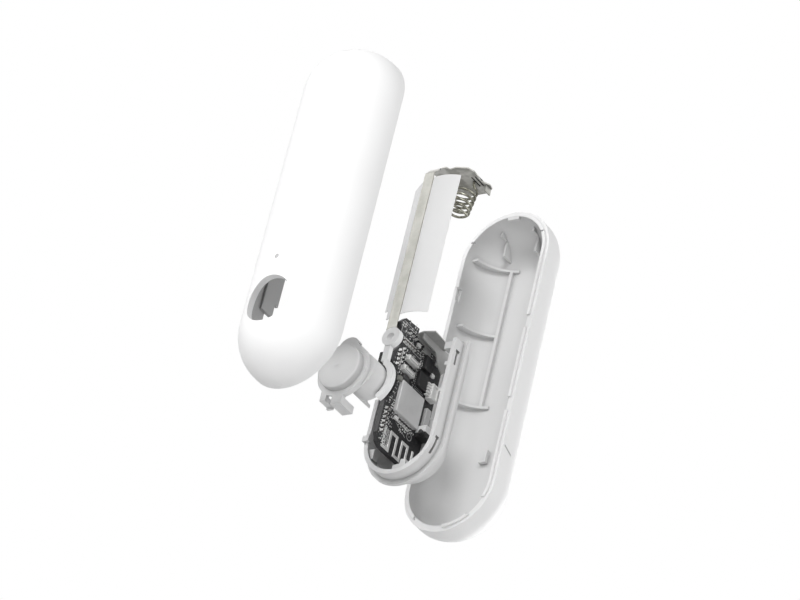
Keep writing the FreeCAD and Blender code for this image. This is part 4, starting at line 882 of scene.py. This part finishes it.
def buildPrinting():
    # the light print: lines, a ring mark with its dot, and a dotted outline towards it
    lines = [ribbon(path, **printLine) for path in printed]
    dots = np.linspace(dottedLine["from"], dottedLine["to"], dottedLine["count"])
    marks = [rings(dots, **dottedLine["dot"]), rings([ringMark["centre"]], **ringMark["ring"]),
             rings([ringMark["centre"]], **ringMark["dot"])]
    makePiece("boardPrint", joined(lines + marks), "boardPrint")


foldedTrace = {
    "feed": -4.8, "feedRise": 0.1, "places": (-2.6, -0.4, 1.6, 3.6, 5.6),
    "low": lowEnd - 3.8, "high": lowEnd + 0.6, "width": 0.74, "height": 0.1,
}
stitching = {
    # vias between the feed and the first leg: along y, and how far inside the trace's ends along z
    "y": (-4.5, -3.1, 4), "inside": (0.5, 0.2), "rows": 11, "spread": 0.05,
    "via": {"radius": 0.12, "width": 0.1, "height": 0.03},
}


def buildAntenna():
    # one folded trace: up and down across the lower end, with its feed on the left
    low, high, feedPlace = foldedTrace["low"], foldedTrace["high"], foldedTrace["feed"]
    path = [(feedPlace, high + foldedTrace["feedRise"]), (feedPlace, low)]
    for index, across in enumerate(foldedTrace["places"]):
        ends = (low, high) if index % 2 == 0 else (high, low)
        path += [(across, ends[0]), (across, ends[1])]
    line = ribbon(path, foldedTrace["width"], foldedTrace["height"])
    trace = makePiece("foldedTrace", line, "traceSilver")
    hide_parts("antenna")
    # a mottled band of stitching vias between the feed and the first leg
    below, above = stitching["inside"]
    rise = np.linspace(low + below, high - above, stitching["rows"])
    spots = np.stack(np.meshgrid(np.linspace(*stitching["y"]), rise), axis=-1).reshape(-1, 2)
    spots = spots + rng.normal(0, stitching["spread"], spots.shape)
    makePiece("stitchVias", rings(spots, **stitching["via"]), "solder")


contactLip = {"centre": (1.7, lowEnd + 24.85), "half": (4.1, 0.42), "height": 0.5, "edge": 0.12}
# a dark tab of painted shade over the upper contact plate's slots
slotShadeTab = {"centre": (3.55, -0.6), "half": (1.0, 2.0), "height": 0.12, "edge": 0.05, "rise": 36.32}
tabCorner, tabSteps = 0.2, 4


def buildContactLip():
    # the folded lip with which the positive contact lies along the board's upper edge
    lip = blocks([contactLip["centre"]], [contactLip["half"]],
                 profileOf(contactLip["height"], contactLip["edge"]), tabCorner, tabSteps)
    makePiece("contactLip", lip, "plateSteel")


def buildSlotShadeTab():
    # a dark tab over the slots of the upper contact plate, painted shade for the shadow in the slots,
    # worked out on x and y and raised along z
    points, faces = blocks([slotShadeTab["centre"]], [slotShadeTab["half"]],
                           profileOf(slotShadeTab["height"], slotShadeTab["edge"]), tabCorner, tabSteps,
                           base=slotShadeTab["rise"])
    makePiece("slotShadeTab", (points[:, [1, 2, 0]], faces), "plungerBlack")


comb = {
    "low": lowEnd + 13.7, "across": 6.5, "half": (1.2, 1.89), "corner": 0.15,
    "profile": ((0, 0), (0, 1.3), (0.05, 1.5), (0.2, 1.58), (0.45, 1.58), (0.5, 1.35), (0.62, 1.3)),
    "steps": 3, "pitch": 0.7, "teeth": (0.7, 1.7, 2.7, 3.7, 4.7), "out": 4.75,
    "toothHalf": (0.65, 0.14), "toothCorner": 0.06,
    "toothProfile": ((0, 0.5), (0, 1.1), (0.04, 1.22), (0.1, 1.26), (0.12, 1.26)),
}


def buildComb():
    # the connector's housing with a stepped top, and its row of flat teeth
    middle = (comb["across"], comb["low"] + comb["half"][1])
    housing = blocks([middle], [comb["half"]], comb["profile"], comb["corner"], comb["steps"])
    body = makePiece("combHousing", housing, "connectorWhite")
    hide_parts("connector_body")
    rise = comb["low"] + comb["pitch"] * np.array(comb["teeth"])
    spots = np.stack([np.full(len(rise), comb["out"]), rise], axis=1)
    row = blocks(spots, [comb["toothHalf"]], comb["toothProfile"], comb["toothCorner"], cornerSteps)
    teeth = makePiece("combTeeth", row, "connectorWhite")
    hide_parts("connector_pins")


buildLids()
buildCoils()
buildEndCaps()
buildLegs()
buildFineParts()
buildPrinting()
buildAntenna()
buildComb()
buildContactLip()
buildSlotShadeTab()
print("board details built")


# Light, floor and camera

studio = {
    "ambient": 0.18,  # what the sky gives from every side; the camera and reflections see plain white
    "middle": (0, -0.04, 0),
    "distance": 1.2,
    "floorHeight": -0.9,
    "floorReach": 8.0,
    "floorGlow": 0.62,
}
lamps = {
    # direction from the object, width in metres, power in watts
    "backLamp": ((0, 1, 0), 0.9, 9.4),
    "rightLamp": ((0.95, 0.31, 0), 0.9, 4.0),
    "lowLamp": ((0, -0.8, -0.6), 0.9, 2.0),
    "frontLamp": ((0, -1, 0), 0.3, 5.4),
    "leftHighLamp": ((-0.45, -0.75, 0.5), 0.4, 3.0),
    "rightHighLamp": ((0.4, -0.75, 0.5), 0.4, 5.0),
    "sideLamp": ((0.66, -0.72, -0.15), 0.4, 1.9),
}


def buildSky():
    world = bpy.data.worlds.new("studioSky")
    bpy.context.scene.world = world
    world.use_nodes = True
    tree = world.node_tree
    background = tree.nodes["Background"]
    background.inputs["Color"].default_value = (1, 1, 1, 1)
    rays = addNode(tree, "ShaderNodeLightPath").outputs
    seen = mathNode(tree, "ADD", rays["Is Camera Ray"], rays["Is Glossy Ray"], clamp=True)
    seen = mathNode(tree, "ADD", seen, rays["Is Transmission Ray"], clamp=True)
    feed(tree, mapRange(tree, seen, (0.0, 1.0), (studio["ambient"], 1.0)), background.inputs["Strength"])


def buildFloor():
    # a plain square of pale floor far below, so that it hides nothing from a camera that looks up
    mesh = bpy.data.meshes.new("floor")
    corners = np.array([(-1, -1, 0), (1, -1, 0), (1, 1, 0), (-1, 1, 0)], float) * studio["floorReach"]
    corners[:, 2] = studio["floorHeight"]
    mesh.from_pydata(corners.tolist(), [], [(0, 1, 2, 3)])
    floor = bpy.data.objects.new("floor", mesh)
    bpy.context.scene.collection.objects.link(floor)
    pale = plastic("floorPale", 0.90, 0.89, (0.9, 1.0), 30.0, 0.0001)
    shader = pale.node_tree.nodes["Principled BSDF"]
    shader.inputs["Emission Strength"].default_value = 1.0
    # shown paler to the camera only, so the shadow stays and nothing is lit by it
    direct = addNode(pale.node_tree, "ShaderNodeLightPath").outputs["Is Camera Ray"]
    glow = mixColours(pale.node_tree, direct, 0.0, studio["floorGlow"])
    feed(pale.node_tree, glow, shader.inputs["Emission Color"])
    mesh.materials.append(pale)


def addLamp(name, place, target, width, power):
    data = bpy.data.lights.new(name, "AREA")
    data.shape = "DISK"
    data.size = width
    data.energy = power
    lamp = bpy.data.objects.new(name, data)
    bpy.context.scene.collection.objects.link(lamp)
    lamp.location = place
    lamp.rotation_mode = "QUATERNION"
    lamp.rotation_quaternion = (target - place).to_track_quat("-Z", "Y")


def buildLamps():
    middle = Vector(studio["middle"])
    for name, (direction, width, power) in lamps.items():
        addLamp(name, middle + Vector(direction).normalized() * studio["distance"], middle, width, power)


cameraFacts = {
    "place": (0.468954, -0.585450, -0.424499),
    "target": (-0.000629, -0.040669, -0.001123),
    "roll": 14.019,  # degrees, anticlockwise about the line of sight
    "lens": 176.64,
    "sensor": 36.0,
    "clip": (0.05, 20.0),
}


def buildCamera():
    data = bpy.data.cameras.new("camera")
    data.sensor_width = cameraFacts["sensor"]
    data.lens = cameraFacts["lens"]
    data.clip_start, data.clip_end = cameraFacts["clip"]
    camera = bpy.data.objects.new("camera", data)
    bpy.context.scene.collection.objects.link(camera)
    eye, target = Vector(cameraFacts["place"]), Vector(cameraFacts["target"])
    forward = (target - eye).normalized()
    side = forward.cross(Vector((0, 0, 1))).normalized()
    up = side.cross(forward)
    roll = math.radians(cameraFacts["roll"])
    right = side * math.cos(roll) + up * math.sin(roll)
    top = up * math.cos(roll) - side * math.sin(roll)
    turn = Matrix((right, top, -forward)).transposed()
    camera.matrix_world = Matrix.Translation(eye) @ turn.to_4x4()
    bpy.context.scene.camera = camera


buildSky()
buildFloor()
buildLamps()
buildCamera()
bpy.context.scene.view_settings.view_transform = "Standard"
print("light, floor and camera set")
